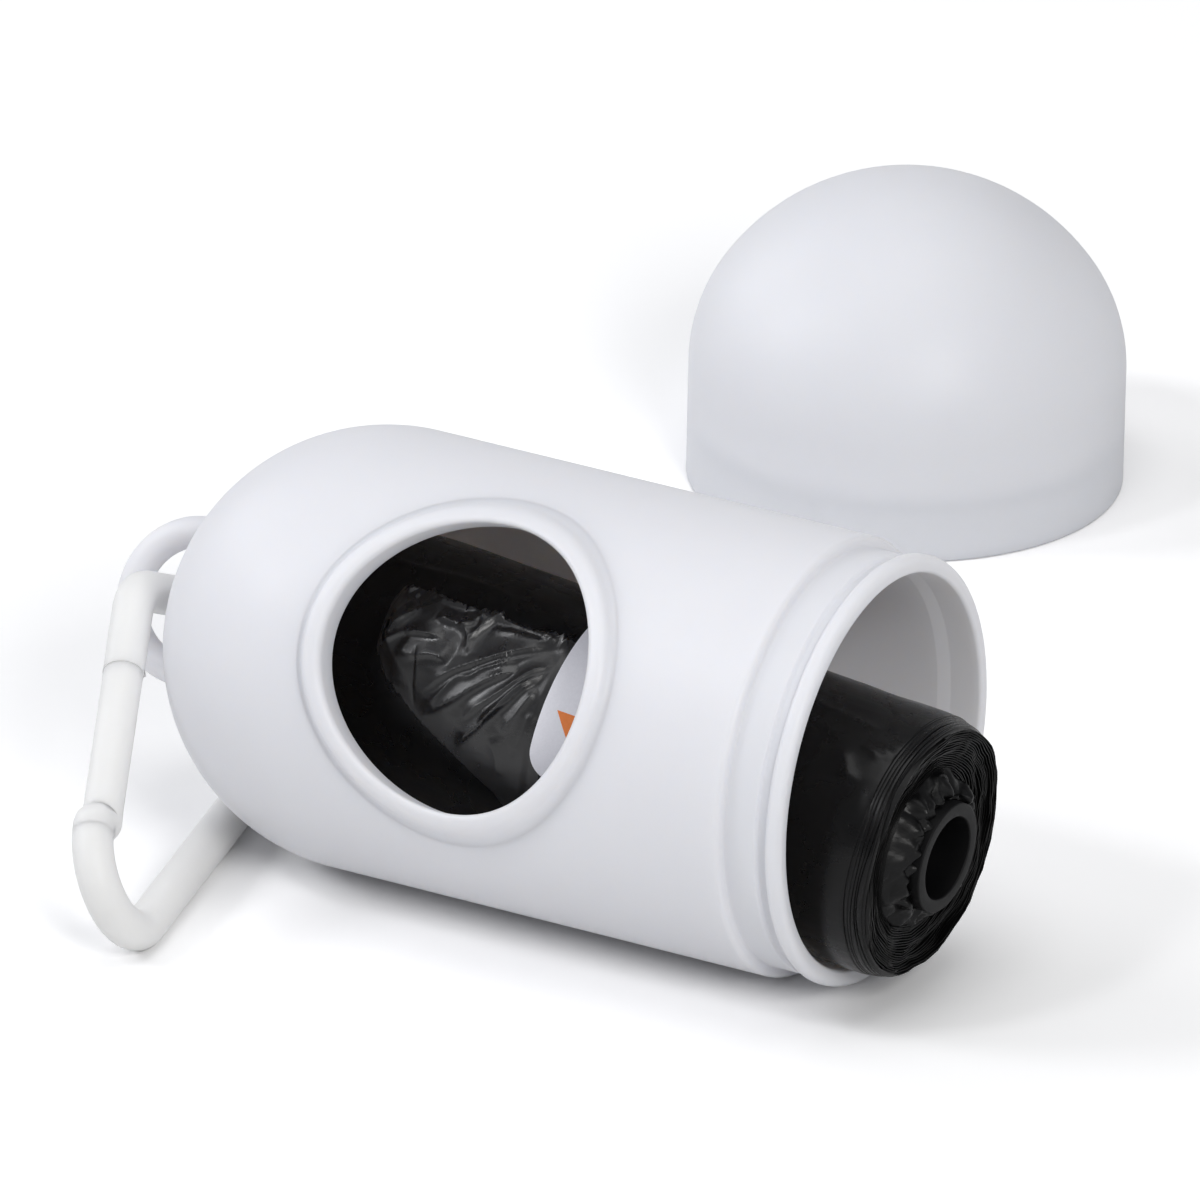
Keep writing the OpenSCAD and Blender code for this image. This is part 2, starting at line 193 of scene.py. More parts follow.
def seen_as_white(tree: NodeTree, path: Any, glossy: Node | NodeSocket) -> Node:
    """Tells the rays that see the backdrop from those that light the object.

    Args:
        tree: the material's or world's tree.
        path: the outputs of its Light Path node.
        glossy: how far a glossy ray sees it.

    Returns:
        A node that gives 1 for camera and transmission rays and the glossy share for glossy ones.
    """
    seen = add_node(
        tree, "ShaderNodeMath", {0: path["Is Camera Ray"], 1: glossy}, operation="MAXIMUM"
    )
    return add_node(
        tree, "ShaderNodeMath", {0: seen, 1: path["Is Transmission Ray"]}, operation="MAXIMUM"
    )


def link_object(name: str, data: ID) -> Object:
    """Makes an object at the origin and links it to the scene.

    Args:
        name: the object's name.
        data: its mesh, lamp or camera.

    Returns:
        The object.
    """
    obj = bpy.data.objects.new(name, data)
    bpy.context.scene.collection.objects.link(obj)
    return obj


# ---- lines, grids and fields ----


def per_metre(size_mm: float) -> float:
    """The scale at which a noise on Object coordinates has features of that size."""
    return 1.0 / (size_mm * MM)


def smoothstep(low: float, high: float, value: np.ndarray) -> np.ndarray:
    """Rises smoothly from 0 at low to 1 at high."""
    t = np.clip((value - low) / (high - low), 0.0, 1.0)
    return t * t * (3.0 - 2.0 * t)


def unit(vector: Sequence[float]) -> np.ndarray:
    """The vector at length 1."""
    array = np.asarray(vector, float)
    return array / np.linalg.norm(array)


def full_turn(count: int) -> np.ndarray:
    """Even angles round a full turn, in radians."""
    return np.linspace(0, 2 * math.pi, count, endpoint=False)


def round_axis(radius: Any, angle: np.ndarray, along: np.ndarray) -> np.ndarray:
    """The local points at those radii and angles round the Z axis and places along it."""
    flat = np.broadcast_arrays(radius * np.cos(angle), radius * np.sin(angle), along)
    return np.stack(flat, -1)


def rounded(
    corners: Sequence[tuple[float, float, float]],
    step: float = 0.7,
    arc_steps: int = 5,
    closed: bool = False,
) -> np.ndarray:
    """Draws a line through corners, each rounded by a tangent arc, with its straights divided.

    Args:
        corners: (first, second, radius) of each corner, in millimetres.
        step: the longest stretch that a straight is left undivided.
        arc_steps: how many stretches make an arc.
        closed: whether the last corner joins the first.

    Returns:
        The points as an array of shape (n, 2).
    """
    # an arc takes up less than half of each straight, so that two never meet
    most = 0.49
    count = len(corners)
    spots = [np.array(c[:2], float) for c in corners]
    drawn: list[np.ndarray] = []
    for i, (spot, corner) in enumerate(zip(spots, corners)):
        at_end = not closed and i in (0, count - 1)
        if at_end or corner[2] <= 0:
            drawn.append(spot)
            continue
        to_last = spots[i - 1] - spot
        to_next = spots[(i + 1) % count] - spot
        reach = min(np.linalg.norm(to_last), np.linalg.norm(to_next)) * most
        a, b = unit(to_last), unit(to_next)
        half = math.acos(float(np.clip(a @ b, -1, 1))) / 2
        cut = min(corner[2] / math.tan(half), reach)
        radius = cut * math.tan(half)
        centre = spot + unit(a + b) * radius / math.sin(half)
        first, last = spot + a * cut - centre, spot + b * cut - centre
        sweep = math.pi - 2 * half
        for k in range(arc_steps + 1):
            t = k / arc_steps
            mixed = math.sin((1 - t) * sweep) * first + math.sin(t * sweep) * last
            drawn.append(centre + mixed / math.sin(sweep))
    if closed:
        drawn.append(drawn[0])
    line = [drawn[0]]
    for a, b in zip(drawn, drawn[1:]):
        parts = max(1, math.ceil(float(np.linalg.norm(b - a)) / step))
        line.extend(a + (b - a) * k / parts for k in range(1, parts + 1))
    return np.array(line[:-1] if closed else line)


def arc(
    centre: tuple[float, float], radius: float, start: float, end: float, parts: int
) -> np.ndarray:
    """Points on an arc.

    Args:
        centre: the arc's centre.
        radius: its radius.
        start: the first angle in degrees.
        end: the last angle in degrees.
        parts: how many stretches it has.

    Returns:
        The points as an array of shape (parts + 1, 2).
    """
    angles = np.radians(np.linspace(start, end, parts + 1))
    return np.stack([centre[0] + radius * np.cos(angles), centre[1] + radius * np.sin(angles)], 1)


def smooth_line(points: np.ndarray, parts: int) -> np.ndarray:
    """Runs a smooth curve through points.

    Args:
        points: the points, of shape (n, 2).
        parts: how many stretches lie between two points.

    Returns:
        The curve's points.
    """
    ends = [2 * points[0] - points[1]], [2 * points[-1] - points[-2]]
    padded = np.concatenate([ends[0], points, ends[1]])
    drawn = []
    for p0, p1, p2, p3 in zip(padded, padded[1:], padded[2:], padded[3:]):
        for t in np.arange(parts) / parts:
            drawn.append(0.5 * (2 * p1 + (p2 - p0) * t + (2 * p0 - 5 * p1 + 4 * p2 - p3) * t * t
                                + (3 * p1 - p0 - 3 * p2 + p3) * t ** 3))
    drawn.append(points[-1])
    return np.array(drawn)


@dataclass(frozen=True)
class Axes:
    """A right-handed set of directions about a point, in millimetres of the model's frame."""

    origin: np.ndarray
    x: np.ndarray
    y: np.ndarray
    z: np.ndarray

    def place(self, points: np.ndarray) -> np.ndarray:
        """Takes local points to the model's frame."""
        x, y, z = points[..., :1], points[..., 1:2], points[..., 2:3]
        return self.origin + x * self.x + y * self.y + z * self.z


@dataclass(frozen=True)
class Ripples:
    """A smooth random field that closes round a turn: waves with fixed random phases."""

    seed: int
    turns: tuple[int, int]
    length_mm: tuple[float, float]
    count: int = 24

    def at(self, angle: np.ndarray, along: np.ndarray) -> np.ndarray:
        """The field's value, mostly between -1 and 1.

        Args:
            angle: angles round the axis, in radians.
            along: places along it, in millimetres.

        Returns:
            One value for each pair.
        """
        draw = np.random.default_rng(self.seed)
        total = np.zeros(np.broadcast(angle, along).shape)
        for _ in range(self.count):
            waves = int(draw.integers(self.turns[0], self.turns[1] + 1)) * int(draw.choice((-1, 1)))
            pitch = 2 * math.pi / draw.uniform(*self.length_mm)
            total = total + np.sin(waves * angle + pitch * along + draw.uniform(0, 2 * math.pi))
        return total / math.sqrt(self.count)


@dataclass(frozen=True)
class Facets:
    """A crumpled field of flat facets and sharp creases: folded waves in random directions."""

    seed: int
    length_mm: tuple[float, float]
    count: int = 6

    def at(self, across: np.ndarray, down: np.ndarray) -> np.ndarray:
        """The field's value, from 0 to about 1.

        Args:
            across: places along the roll, in millimetres.
            down: places round it, in millimetres of arc.

        Returns:
            One value for each pair.
        """
        draw = np.random.default_rng(self.seed)
        # the creases are bent a little, at this depth and pitch
        depth, pitch = 0.14, 1.3
        total = np.zeros(across.shape)
        for _ in range(self.count):
            aim, length = draw.uniform(0, math.pi), draw.uniform(*self.length_mm)
            side = (across * math.sin(aim) - down * math.cos(aim)) / length
            bend = depth * np.sin(side * pitch + draw.uniform(0, 6))
            ahead = (across * math.cos(aim) + down * math.sin(aim)) / length
            phase = ahead + bend + draw.uniform(0, 1)
            total = total + np.abs(2 * (phase - np.floor(phase)) - 1)
        return total / self.count


@dataclass(frozen=True)
class Fold:
    """One fold of film: a ridge along a smooth line, with its own width on either side.

    The line is given as (place along the roll in millimetres, angle round it in degrees).
    """

    line: tuple[tuple[float, float], ...]
    height: float
    above: float
    below: float

    def lift(self, along: np.ndarray, arc_mm: np.ndarray, radius: float) -> np.ndarray:
        """How far the fold raises the film.

        Args:
            along: places along the roll, in millimetres.
            arc_mm: places round it, in millimetres of arc.
            radius: the radius at which the fold's angles count as arc.

        Returns:
            Heights in millimetres.
        """
        # the shares of the line at which the ridge is risen and begins to fall, and its crest
        risen, falling, crest = 0.18, 0.78, 1.25
        spots = np.array([(x, math.radians(angle) * radius) for x, angle in self.line])
        line = smooth_line(spots, parts=6)
        best = np.full(along.shape, np.inf)
        side, share = np.zeros(along.shape), np.zeros(along.shape)
        for i, (a, b) in enumerate(zip(line, line[1:])):
            step = b - a
            ahead = (along - a[0]) * step[0] + (arc_mm - a[1]) * step[1]
            t = np.clip(ahead / (step @ step), 0, 1)
            off_x, off_y = along - a[0] - t * step[0], arc_mm - a[1] - t * step[1]
            gap = np.hypot(off_x, off_y)
            nearer = gap < best
            best = np.where(nearer, gap, best)
            side = np.where(nearer, off_y, side)
            share = np.where(nearer, (i + t) / (len(line) - 1), share)
        width = np.where(side < 0, self.above, self.below)
        taper = smoothstep(0.0, risen, share) * (1 - smoothstep(falling, 1.0, share))
        return self.height * taper * np.exp(-((best / width) ** crest))


class Piece:
    """Makes finished objects from point grids."""

    @staticmethod
    def from_arrays(
        name: str, points: np.ndarray, faces: Faces, edges: Sequence[tuple[int, int]] = ()
    ) -> Object:
        """Makes a smooth-shaded object at the origin.

        Args:
            name: the object's name.
            points: its vertices in millimetres, of shape (n, 3).
            faces: vertex numbers of each face.
            edges: vertex numbers of each edge that has no face.

        Returns:
            The object, linked to the scene.
        """
        mesh = bpy.data.meshes.new(name)
        mesh.from_pydata((points * MM).tolist(), list(edges), faces)
        mesh.shade_smooth()
        mesh.update()
        return link_object(name, mesh)

    @staticmethod
    def from_grid(
        name: str, grid: np.ndarray, wrap: tuple[bool, bool], capped: bool = False
    ) -> Object:
        """Skins a grid of points, closes it and turns its faces outwards.

        Args:
            name: the object's name.
            grid: points in millimetres, of shape (rows, columns, 3).
            wrap: whether the rows, and the columns, close on themselves.
            capped: whether the first and last row each get a lid.

        Returns:
            The object, linked to the scene.
        """
        rows, cols = grid.shape[:2]
        faces: Faces = []
        for i in range(rows if wrap[0] else rows - 1):
            below, above = i * cols, (i + 1) % rows * cols
            for j in range(cols if wrap[1] else cols - 1):
                k = (j + 1) % cols
                faces.append((below + j, below + k, above + k, above + j))
        if capped:
            faces.append(tuple(range(cols)))
            faces.append(tuple(range((rows - 1) * cols, rows * cols)))
        obj = Piece.from_arrays(name, grid.reshape(-1, 3), faces)
        Piece.tidy(obj)
        return obj

    @staticmethod
    def tidy(obj: Object, sharp: float | None = None) -> None:
        """Merges doubled points, turns all faces outwards and shades them.

        Args:
            obj: the object.
            sharp: the bend in degrees past which an edge stays sharp, or None where none does.
        """
        work = bmesh.new()
        work.from_mesh(obj.data)
        bmesh.ops.remove_doubles(work, verts=work.verts, dist=DOUBLED)
        bmesh.ops.dissolve_degenerate(work, edges=work.edges, dist=STRAY)
        bmesh.ops.recalc_face_normals(work, faces=work.faces)
        work.to_mesh(obj.data)
        work.free()
        obj.data.shade_smooth()
        if sharp is not None:
            obj.data.set_sharp_from_angle(angle=math.radians(sharp))

    @staticmethod
    def turned(name: str, profile: np.ndarray, axes: Axes, steps: int) -> Object:
        """Turns a profile about the local Z axis.

        Args:
            name: the object's name.
            profile: (radius, place along Z) of each point.
            axes: where the local frame lies.
            steps: how many columns go round.

        Returns:
            The object, linked to the scene.
        """
        local = round_axis(profile[:, :1], full_turn(steps), profile[:, 1:])
        return Piece.from_grid(name, axes.place(local), (False, True))

    @staticmethod
    def bake(obj: Object) -> None:
        """Makes the modifiers' result the object's own mesh, and removes them.

        Args:
            obj: the object.
        """
        graph = bpy.context.evaluated_depsgraph_get()
        mesh = bpy.data.meshes.new_from_object(obj.evaluated_get(graph), depsgraph=graph)
        obj.modifiers.clear()
        obj.data = mesh

    @staticmethod
    def grow(
        obj: Object,
        tree: NodeTree,
        sockets: dict[str, str],
        values: dict[str, Any],
    ) -> np.ndarray:
        """Runs a shape's tree on an object and bakes the result.

        Args:
            obj: the object.
            tree: the tree.
            sockets: the identifier of each of its inputs.
            values: the value of each input.

        Returns:
            The result's points in millimetres.
        """
        modifier = obj.modifiers.new(tree.name, "NODES")
        modifier.node_group = tree
        for title, value in values.items():
            modifier[sockets[title]] = value
        Piece.bake(obj)
        return np.array([v.co for v in obj.data.vertices]) / MM

    @staticmethod
    def settle(obj: Object, points: np.ndarray, sharp: float) -> None:
        """Moves an object's points to their places in the model's frame, and tidies it."""
        obj.data.vertices.foreach_set("co", (points * MM).ravel())
        Piece.tidy(obj, sharp)

    @staticmethod
    def dress(
        obj: Object,
        material: Material,
        body: Body,
        slot: Slot,
        replaced: Sequence[str] = (),
    ) -> None:
        """Gives a finished piece its material and body.

        Args:
            obj: the piece.
            material: its finish.
            body: the body that it rides on.
            slot: the record's material slot, which is not used.
            replaced: the model's nodes that it stands for.
        """
        obj.data.materials.clear()
        obj.data.materials.append(material)
        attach(obj, body.value)
        if replaced:
            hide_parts(*replaced)
        LOG.info("%s: %d faces on %s", obj.name, len(obj.data.polygons), body.value)


# ---- finishes ----


@dataclass(frozen=True)
class Finish:
    """A finish whose tone wanders between two near colours, with a fine relief."""

    name: str
    colour: str
    shade: str

    def complete(
        self,
        tree: NodeTree,
        pattern: Node,
        relief: Node,
        depth_mm: float,
        surface: dict[str, Any],
    ) -> None:
        """Adds the tone, the relief, the shader and the output.

        Args:
            tree: the material's tree.
            pattern: the noise that the tone follows.
            relief: the noise that the relief follows.
            depth_mm: how deep the relief is.
            surface: the shader's other inputs.
        """
        tone = add_node(
            tree, "ShaderNodeMix",
            {"Factor": pattern, 6: linear(self.colour), 7: linear(self.shade)}, data_type="RGBA",
        )
        bump = add_node(
            tree, "ShaderNodeBump", {"Height": relief, "Distance": depth_mm * MM, "Strength": 1.0}
        )
        shader = add_node(
            tree, "ShaderNodeBsdfPrincipled",
            {"Base Color": tone.outputs[2], "Normal": bump, **surface},
        )
        add_node(tree, "ShaderNodeOutputMaterial", {"Surface": shader})


@dataclass(frozen=True)
class MouldedPlastic(Finish):
    """A moulded or extruded plastic: an even tone, a satin gloss and the tool's fine texture."""

    roughness: float
    ior: float
    grain_mm: float
    grain_depth_mm: float
    cloud_mm: float
    translucency: float = 0.0
    depth_mm: float = 1.2
    warmth: tuple[float, float, float] = (1.0, 1.0, 1.0)

    def build(self) -> Material:
        """Makes the material.

        Returns:
            The material.
        """
        material, tree = start_material(self.name)
        place = add_node(tree, "ShaderNodeTexCoord").outputs["Object"]
        # slow clouds in tone and gloss, as the melt leaves them
        cloud = add_node(
            tree, "ShaderNodeTexNoise",
            {"Vector": place, "Scale": per_metre(self.cloud_mm), "Detail": 2.0},
        )
        gloss = add_node(
            tree, "ShaderNodeMapRange",
            {"Value": cloud, "To Min": self.roughness - 0.04, "To Max": self.roughness + 0.05},
        )
        grain = add_node(
            tree, "ShaderNodeTexNoise",
            {"Vector": place, "Scale": per_metre(self.grain_mm), "Detail": 3.0},
        )
        self.complete(tree, cloud, grain, self.grain_depth_mm, {
            "Roughness": gloss, "IOR": self.ior,
            "Subsurface Weight": self.translucency,
            "Subsurface Radius": self.warmth,
            "Subsurface Scale": self.depth_mm * MM,
        })
        return material


@dataclass(frozen=True)
class BlownFilm(Finish):
    """Blown polythene film: near black, with a waxy gloss that breaks up along stretch lines."""

    roughness: float
    stretch_mm: float
    stretch_depth_mm: float
    specular: float
    patch_mm: float = 4.0
    ior: float = 1.54

    def build(self) -> Material:
        """Makes the material.

        Returns:
            The material.
        """
        material, tree = start_material(self.name)
        place = add_node(tree, "ShaderNodeTexCoord").outputs["Object"]
        patches = add_node(
            tree, "ShaderNodeTexNoise",
            {"Vector": place, "Scale": per_metre(self.patch_mm), "Detail": 4.0},
        )
        gloss = add_node(
            tree, "ShaderNodeMapRange",
            {"Value": patches, "From Min": 0.3, "From Max": 0.7,
             "To Min": self.roughness - 0.08, "To Max": self.roughness + 0.1},
        )
        # the film is drawn out lengthways, to four times the lines' width
        drawn = add_node(tree, "ShaderNodeMapping", {"Vector": place, "Scale": (0.25, 1.0, 1.0)})
        lines = add_node(
            tree, "ShaderNodeTexNoise",
            {"Vector": drawn, "Scale": per_metre(self.stretch_mm), "Detail": 5.0,
             "Roughness": 0.6},
        )
        self.complete(tree, patches, lines, self.stretch_depth_mm, {
            "Roughness": gloss, "IOR": self.ior, "Specular IOR Level": self.specular,
        })
        return material


@dataclass(frozen=True)
class Paper(Finish):
    """Uncoated paper, plain or printed: matt, with short fibres in tone and relief."""

    fibre_mm: float = 0.25
    fibre_depth_mm: float = 0.02
    roughness: float = 0.72
    ior: float = 1.45

    def build(self) -> Material:
        """Makes the material.

        Returns:
            The material.
        """
        material, tree = start_material(self.name)
        place = add_node(tree, "ShaderNodeTexCoord").outputs["Object"]
        fibres = add_node(
            tree, "ShaderNodeTexNoise",
            {"Vector": place, "Scale": per_metre(self.fibre_mm), "Detail": 4.0, "Distortion": 0.8},
        )
        self.complete(tree, fibres, fibres, self.fibre_depth_mm, {
            "Roughness": self.roughness, "IOR": self.ior,
        })
        return material


@dataclass(frozen=True)
class SweepPaper:
    """The studio's seamless paper, white to the camera where nothing shades it."""

    name: str = "studio_sweep_paper"
    colour: str = "#E6E6E6"
    camera_lift: float = 1.42
    gloss_share: float = 0.3

    def build(self) -> Material:
        """Makes the material.

        Returns:
            The material.
        """
        material, tree = start_material(self.name)
        plain = linear(self.colour)
        lifted = tuple(c * self.camera_lift for c in plain[:3]) + (1.0,)
        path = add_node(tree, "ShaderNodeLightPath").outputs
        # in a gloss the paper is lifted less, so that black film stays black
        glossy = add_node(
            tree, "ShaderNodeMath", {0: path["Is Glossy Ray"], 1: self.gloss_share},
            operation="MULTIPLY",
        )
        tone = add_node(
            tree, "ShaderNodeMix",
            {"Factor": seen_as_white(tree, path, glossy), 6: plain, 7: lifted},
            data_type="RGBA", clamp_factor=True,
        )
        matt = add_node(tree, "ShaderNodeBsdfDiffuse", {"Color": tone.outputs[2]})
        add_node(tree, "ShaderNodeOutputMaterial", {"Surface": matt})
        return material


# ABS, moulded in a finely spark-eroded tool: cool white and satin, and a little light sinks in
HOUSING_ABS = MouldedPlastic(
    "moulded_abs_white", "#E9E9ED", "#E5E5EA", roughness=0.46, ior=1.50, grain_mm=0.28,
    grain_depth_mm=0.004, cloud_mm=14.0, translucency=0.42, depth_mm=6.0,
    warmth=(1.0, 0.87, 0.74),
)
# Polypropylene, moulded: less blue and milkier than the housing, so the rod looks soft
CLIP_PP = MouldedPlastic(
    "moulded_polypropylene_natural", "#EAEAE9", "#E3E3E2", roughness=0.5, ior=1.49, grain_mm=0.5,
    grain_depth_mm=0.006, cloud_mm=6.0, translucency=0.6, depth_mm=3.0,
    warmth=(1.0, 0.98, 0.93),
)
# Extruded polyethylene tube: black and dull, with an IOR low enough to hold its grey sheen back
CORE_PE = MouldedPlastic(
    "extruded_polyethylene_black", "#0B0B0C", "#080809", roughness=0.5, ior=1.26, grain_mm=0.2,
    grain_depth_mm=0.006, cloud_mm=3.0,
)
# Blown high-density polythene, wound tight: black with a waxy gloss
BAG_FILM = BlownFilm(
    "blown_polythene_black", "#040405", "#080809",
    roughness=0.26, stretch_mm=0.9, stretch_depth_mm=0.02, specular=0.21,
)
# The same film lying loose: crisper folds and a stronger shine
LOOSE_FILM = BlownFilm(
    "blown_polythene_loose", "#050507", "#0A0A0D",
    roughness=0.31, stretch_mm=0.6, stretch_depth_mm=0.02, specular=0.62,
)
# The same film crumpled round the core: its creases break the shine up
CRUSHED_FILM = BlownFilm(
    "blown_polythene_crushed", "#050505", "#080809",
    roughness=0.32, stretch_mm=0.5, stretch_depth_mm=0.03, specular=0.2,
)
# The same film's cut edges, seen end on: duller, and dark between the turns
CUT_EDGES = BlownFilm(
    "cut_polythene_edges", "#040404", "#080808",
    roughness=0.4, stretch_mm=0.5, stretch_depth_mm=0.02, specular=0.2,
)
# Uncoated label paper: cool white and quite matt
LABEL_PAPER = Paper("uncoated_paper_white", "#EBEBF1", "#DFDFE6")
# Offset ink on the same paper: flat orange, in which the fibres still show
LABEL_INK = Paper("offset_ink_orange", "#EE8A4A", "#E27B3A")


# ---- places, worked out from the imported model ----


def joint(name: str) -> dict[str, Any]:
    """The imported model's joint of that name."""
    return next(j for j in frame["record"]["behaviour"]["joints"] if j["name"] == name)


def corners_mm(node: str) -> tuple[np.ndarray, np.ndarray]:
    """The lowest and highest corner of a node, in millimetres."""
    low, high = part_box(node)
    return np.array(low) / MM, np.array(high) / MM


# ---- housing ----


@dataclass
class Housing:
    """The moulded barrel: dome, window with raised rim, neck with groove and bead, eyelet."""

    radius: float = 21.0
    wall: float = 2.4
    barrel_len: float = 46.6
    neck_radius: float = 20.0
    band_len: float = 3.3
    groove_width: float = 1.3
    groove_depth: float = 0.4
    bead_height: float = 0.5
    bead_width: float = 1.6
    mouth_step: float = 0.25
    mouth_step_len: float = 3.2
    window_radius: float = 13.6
    window_x: float = 17.35
    window_turn: float = 28.0
    rim_width: float = 2.15
    rim_height: float = 1.0
    rim_lap: float = 0.7
    eyelet_radius: float = 6.6
    eyelet_wire: float = 1.5
    eyelet_sink: float = 0.3
    eyelet_sweep: float = 109.0
    eyelet_flare: float = 0.3

    @property
    def mouth_x(self) -> float:
        """The mouth's place along the axis, from the dome's centre."""
        return self.barrel_len + self.band_len + self.groove_width + self.bead_width

    @cached_property
    def axes(self) -> Axes:
        """X out through the window, Y across it and Z along the axis, about the dome's centre.

        Returns:
            The housing's frame.
        """
        _, high = corners_mm("shell")
        origin = np.array([high[0] - self.mouth_x, high[1] - self.radius, self.radius])
        turn = math.radians(self.window_turn)
        out = np.array([0.0, -math.cos(turn), math.sin(turn)])
        along = np.array([1.0, 0.0, 0.0])
        return Axes(origin, out, np.cross(along, out), along)

    def profile(self) -> np.ndarray:
        """The wall's outline, from the dome's apex outside to the same apex inside.

        Returns:
            (radius, place along the axis) of each point.
        """
        neck, bead = self.neck_radius, self.neck_radius + self.bead_height
        band_end = self.barrel_len + self.band_len
        bead_start = band_end + self.groove_width
        bore = self.radius - self.wall
        mouth = bore + self.mouth_step
        step_x = self.mouth_x - self.mouth_step_len
        floor = neck - self.groove_depth
        # each corner: radius, place along the axis, and how far it is rounded
        outside = rounded([
            (self.radius, 0.0, 0.0), (self.radius, self.barrel_len, 0.9),
            (neck - 0.05, self.barrel_len + 0.12, 0.25), (neck, band_end, 0.25),
            (floor, band_end + 0.25, 0.25), (floor, bead_start - 0.15, 0.35),
            (bead, bead_start + 0.1, 0.55), (bead, self.mouth_x, 0.75),
            (mouth, self.mouth_x, 0.35), (mouth, step_x, 0.5),
            (bore, step_x - 1.3, 0.6), (bore, 0.0, 0.0),
        ])
        dome = arc((0.0, 0.0), self.radius, -90.0, 0.0, parts=48)[:-1]
        hollow = arc((0.0, 0.0), bore, 0.0, -90.0, parts=42)[1:]
        return np.concatenate([dome, outside, hollow])

    def build_wall(self) -> Object:
        """Turns the wall and cuts the window's hole, whose edge the rim then covers.

        Returns:
            The wall.
        """
        wall = Piece.turned("housing_wall", self.profile(), self.axes, steps=240)
        sides = 128
        circle = arc((0.0, 0.0), self.window_radius + self.rim_lap, 0.0, 360.0, sides)[:-1]
        # the cutter reaches from inside the bore to well outside the barrel
        rings = np.stack([
            np.column_stack([np.full(sides, depth), circle[:, 1], circle[:, 0] + self.window_x])
            for depth in (0.5 * self.radius, 1.3 * self.radius)
        ])
        placed = self.axes.place(rings)
        cutter = Piece.from_grid("window_cutter", placed, (False, True), capped=True)
        cut = wall.modifiers.new("window", "BOOLEAN")
        cut.operation, cut.solver, cut.object = "DIFFERENCE", "EXACT", cutter
        Piece.bake(wall)
        bpy.data.objects.remove(cutter)
        wall.data.shade_smooth()
        return wall

    def build_rim(self) -> Object:
        """Sweeps the raised rim round the window, with its inner wall and a toe on the barrel.

        Returns:
            The rim.
        """
        inside, outside = self.window_radius, self.window_radius + self.rim_width
        skin, top, bore = self.radius, self.radius + self.rim_height, self.radius - self.wall
        lining = inside + 2.2
        # each corner: distance from the window's axis, from the barrel's axis, and rounding
        section = rounded([
            (outside + 1.0, skin - 0.04, 0.0), (outside + 0.05, skin + 0.04, 0.8),
            (outside - 0.45, top, 1.0), (inside, top, 1.0), (inside, bore, 0.45),
            (lining, bore - 0.03, 0.0), (lining, bore + 0.8, 0.0),
            (outside + self.rim_lap, skin - 0.7, 0.0),
        ], step=0.35, arc_steps=8, closed=True)
        angles = full_turn(288)[:, None]
        reach, height = section[:, 0], section[:, 1]
        across = reach * np.sin(angles)
        along = self.window_x + reach * np.cos(angles)
        # the rim lies on the barrel, and on the dome behind its centre
        on_dome = np.minimum(along, 0.0)
        out = np.sqrt(height ** 2 - across ** 2 - on_dome ** 2)
        grid = np.stack([out, across, along], -1)
        return Piece.from_grid("window_rim", self.axes.place(grid), (True, True))

    def build_eyelet(self) -> Object:
        """Sweeps the eyelet's ring, which flares a little where it grows out of the dome.

        Returns:
            The ring.
        """
        ends = (-self.eyelet_sweep, self.eyelet_sweep)
        sweep = np.radians(np.linspace(*ends, 121))[:, None]
        turn = full_turn(36)
        centre_z = -(self.radius - self.eyelet_sink)
        mid_z = centre_z - self.eyelet_radius * np.cos(sweep)
        mid_y = self.eyelet_radius * np.sin(sweep)
        clear = smoothstep(self.radius - 0.6, self.radius + 1.6, np.hypot(mid_z, mid_y))
        wire = self.eyelet_wire * (1 + self.eyelet_flare * (1 - clear))
        ring = self.eyelet_radius + wire * np.cos(turn)
        parts = wire * np.sin(turn), ring * np.sin(sweep), centre_z - ring * np.cos(sweep)
        grid = np.stack(parts, -1)
        return Piece.from_grid("eyelet_ring", self.axes.place(grid), (False, True), capped=True)

    def build(self, finish: Material) -> None:
        """Builds and dresses the housing's pieces.

        Args:
            finish: the housing's material.
        """
        Piece.dress(self.build_wall(), finish, Body.HOUSING, Slot.HOUSING, ["shell"])
        for piece in (self.build_rim(), self.build_eyelet()):
            Piece.dress(piece, finish, Body.HOUSING, Slot.HOUSING)


# ---- cap ----


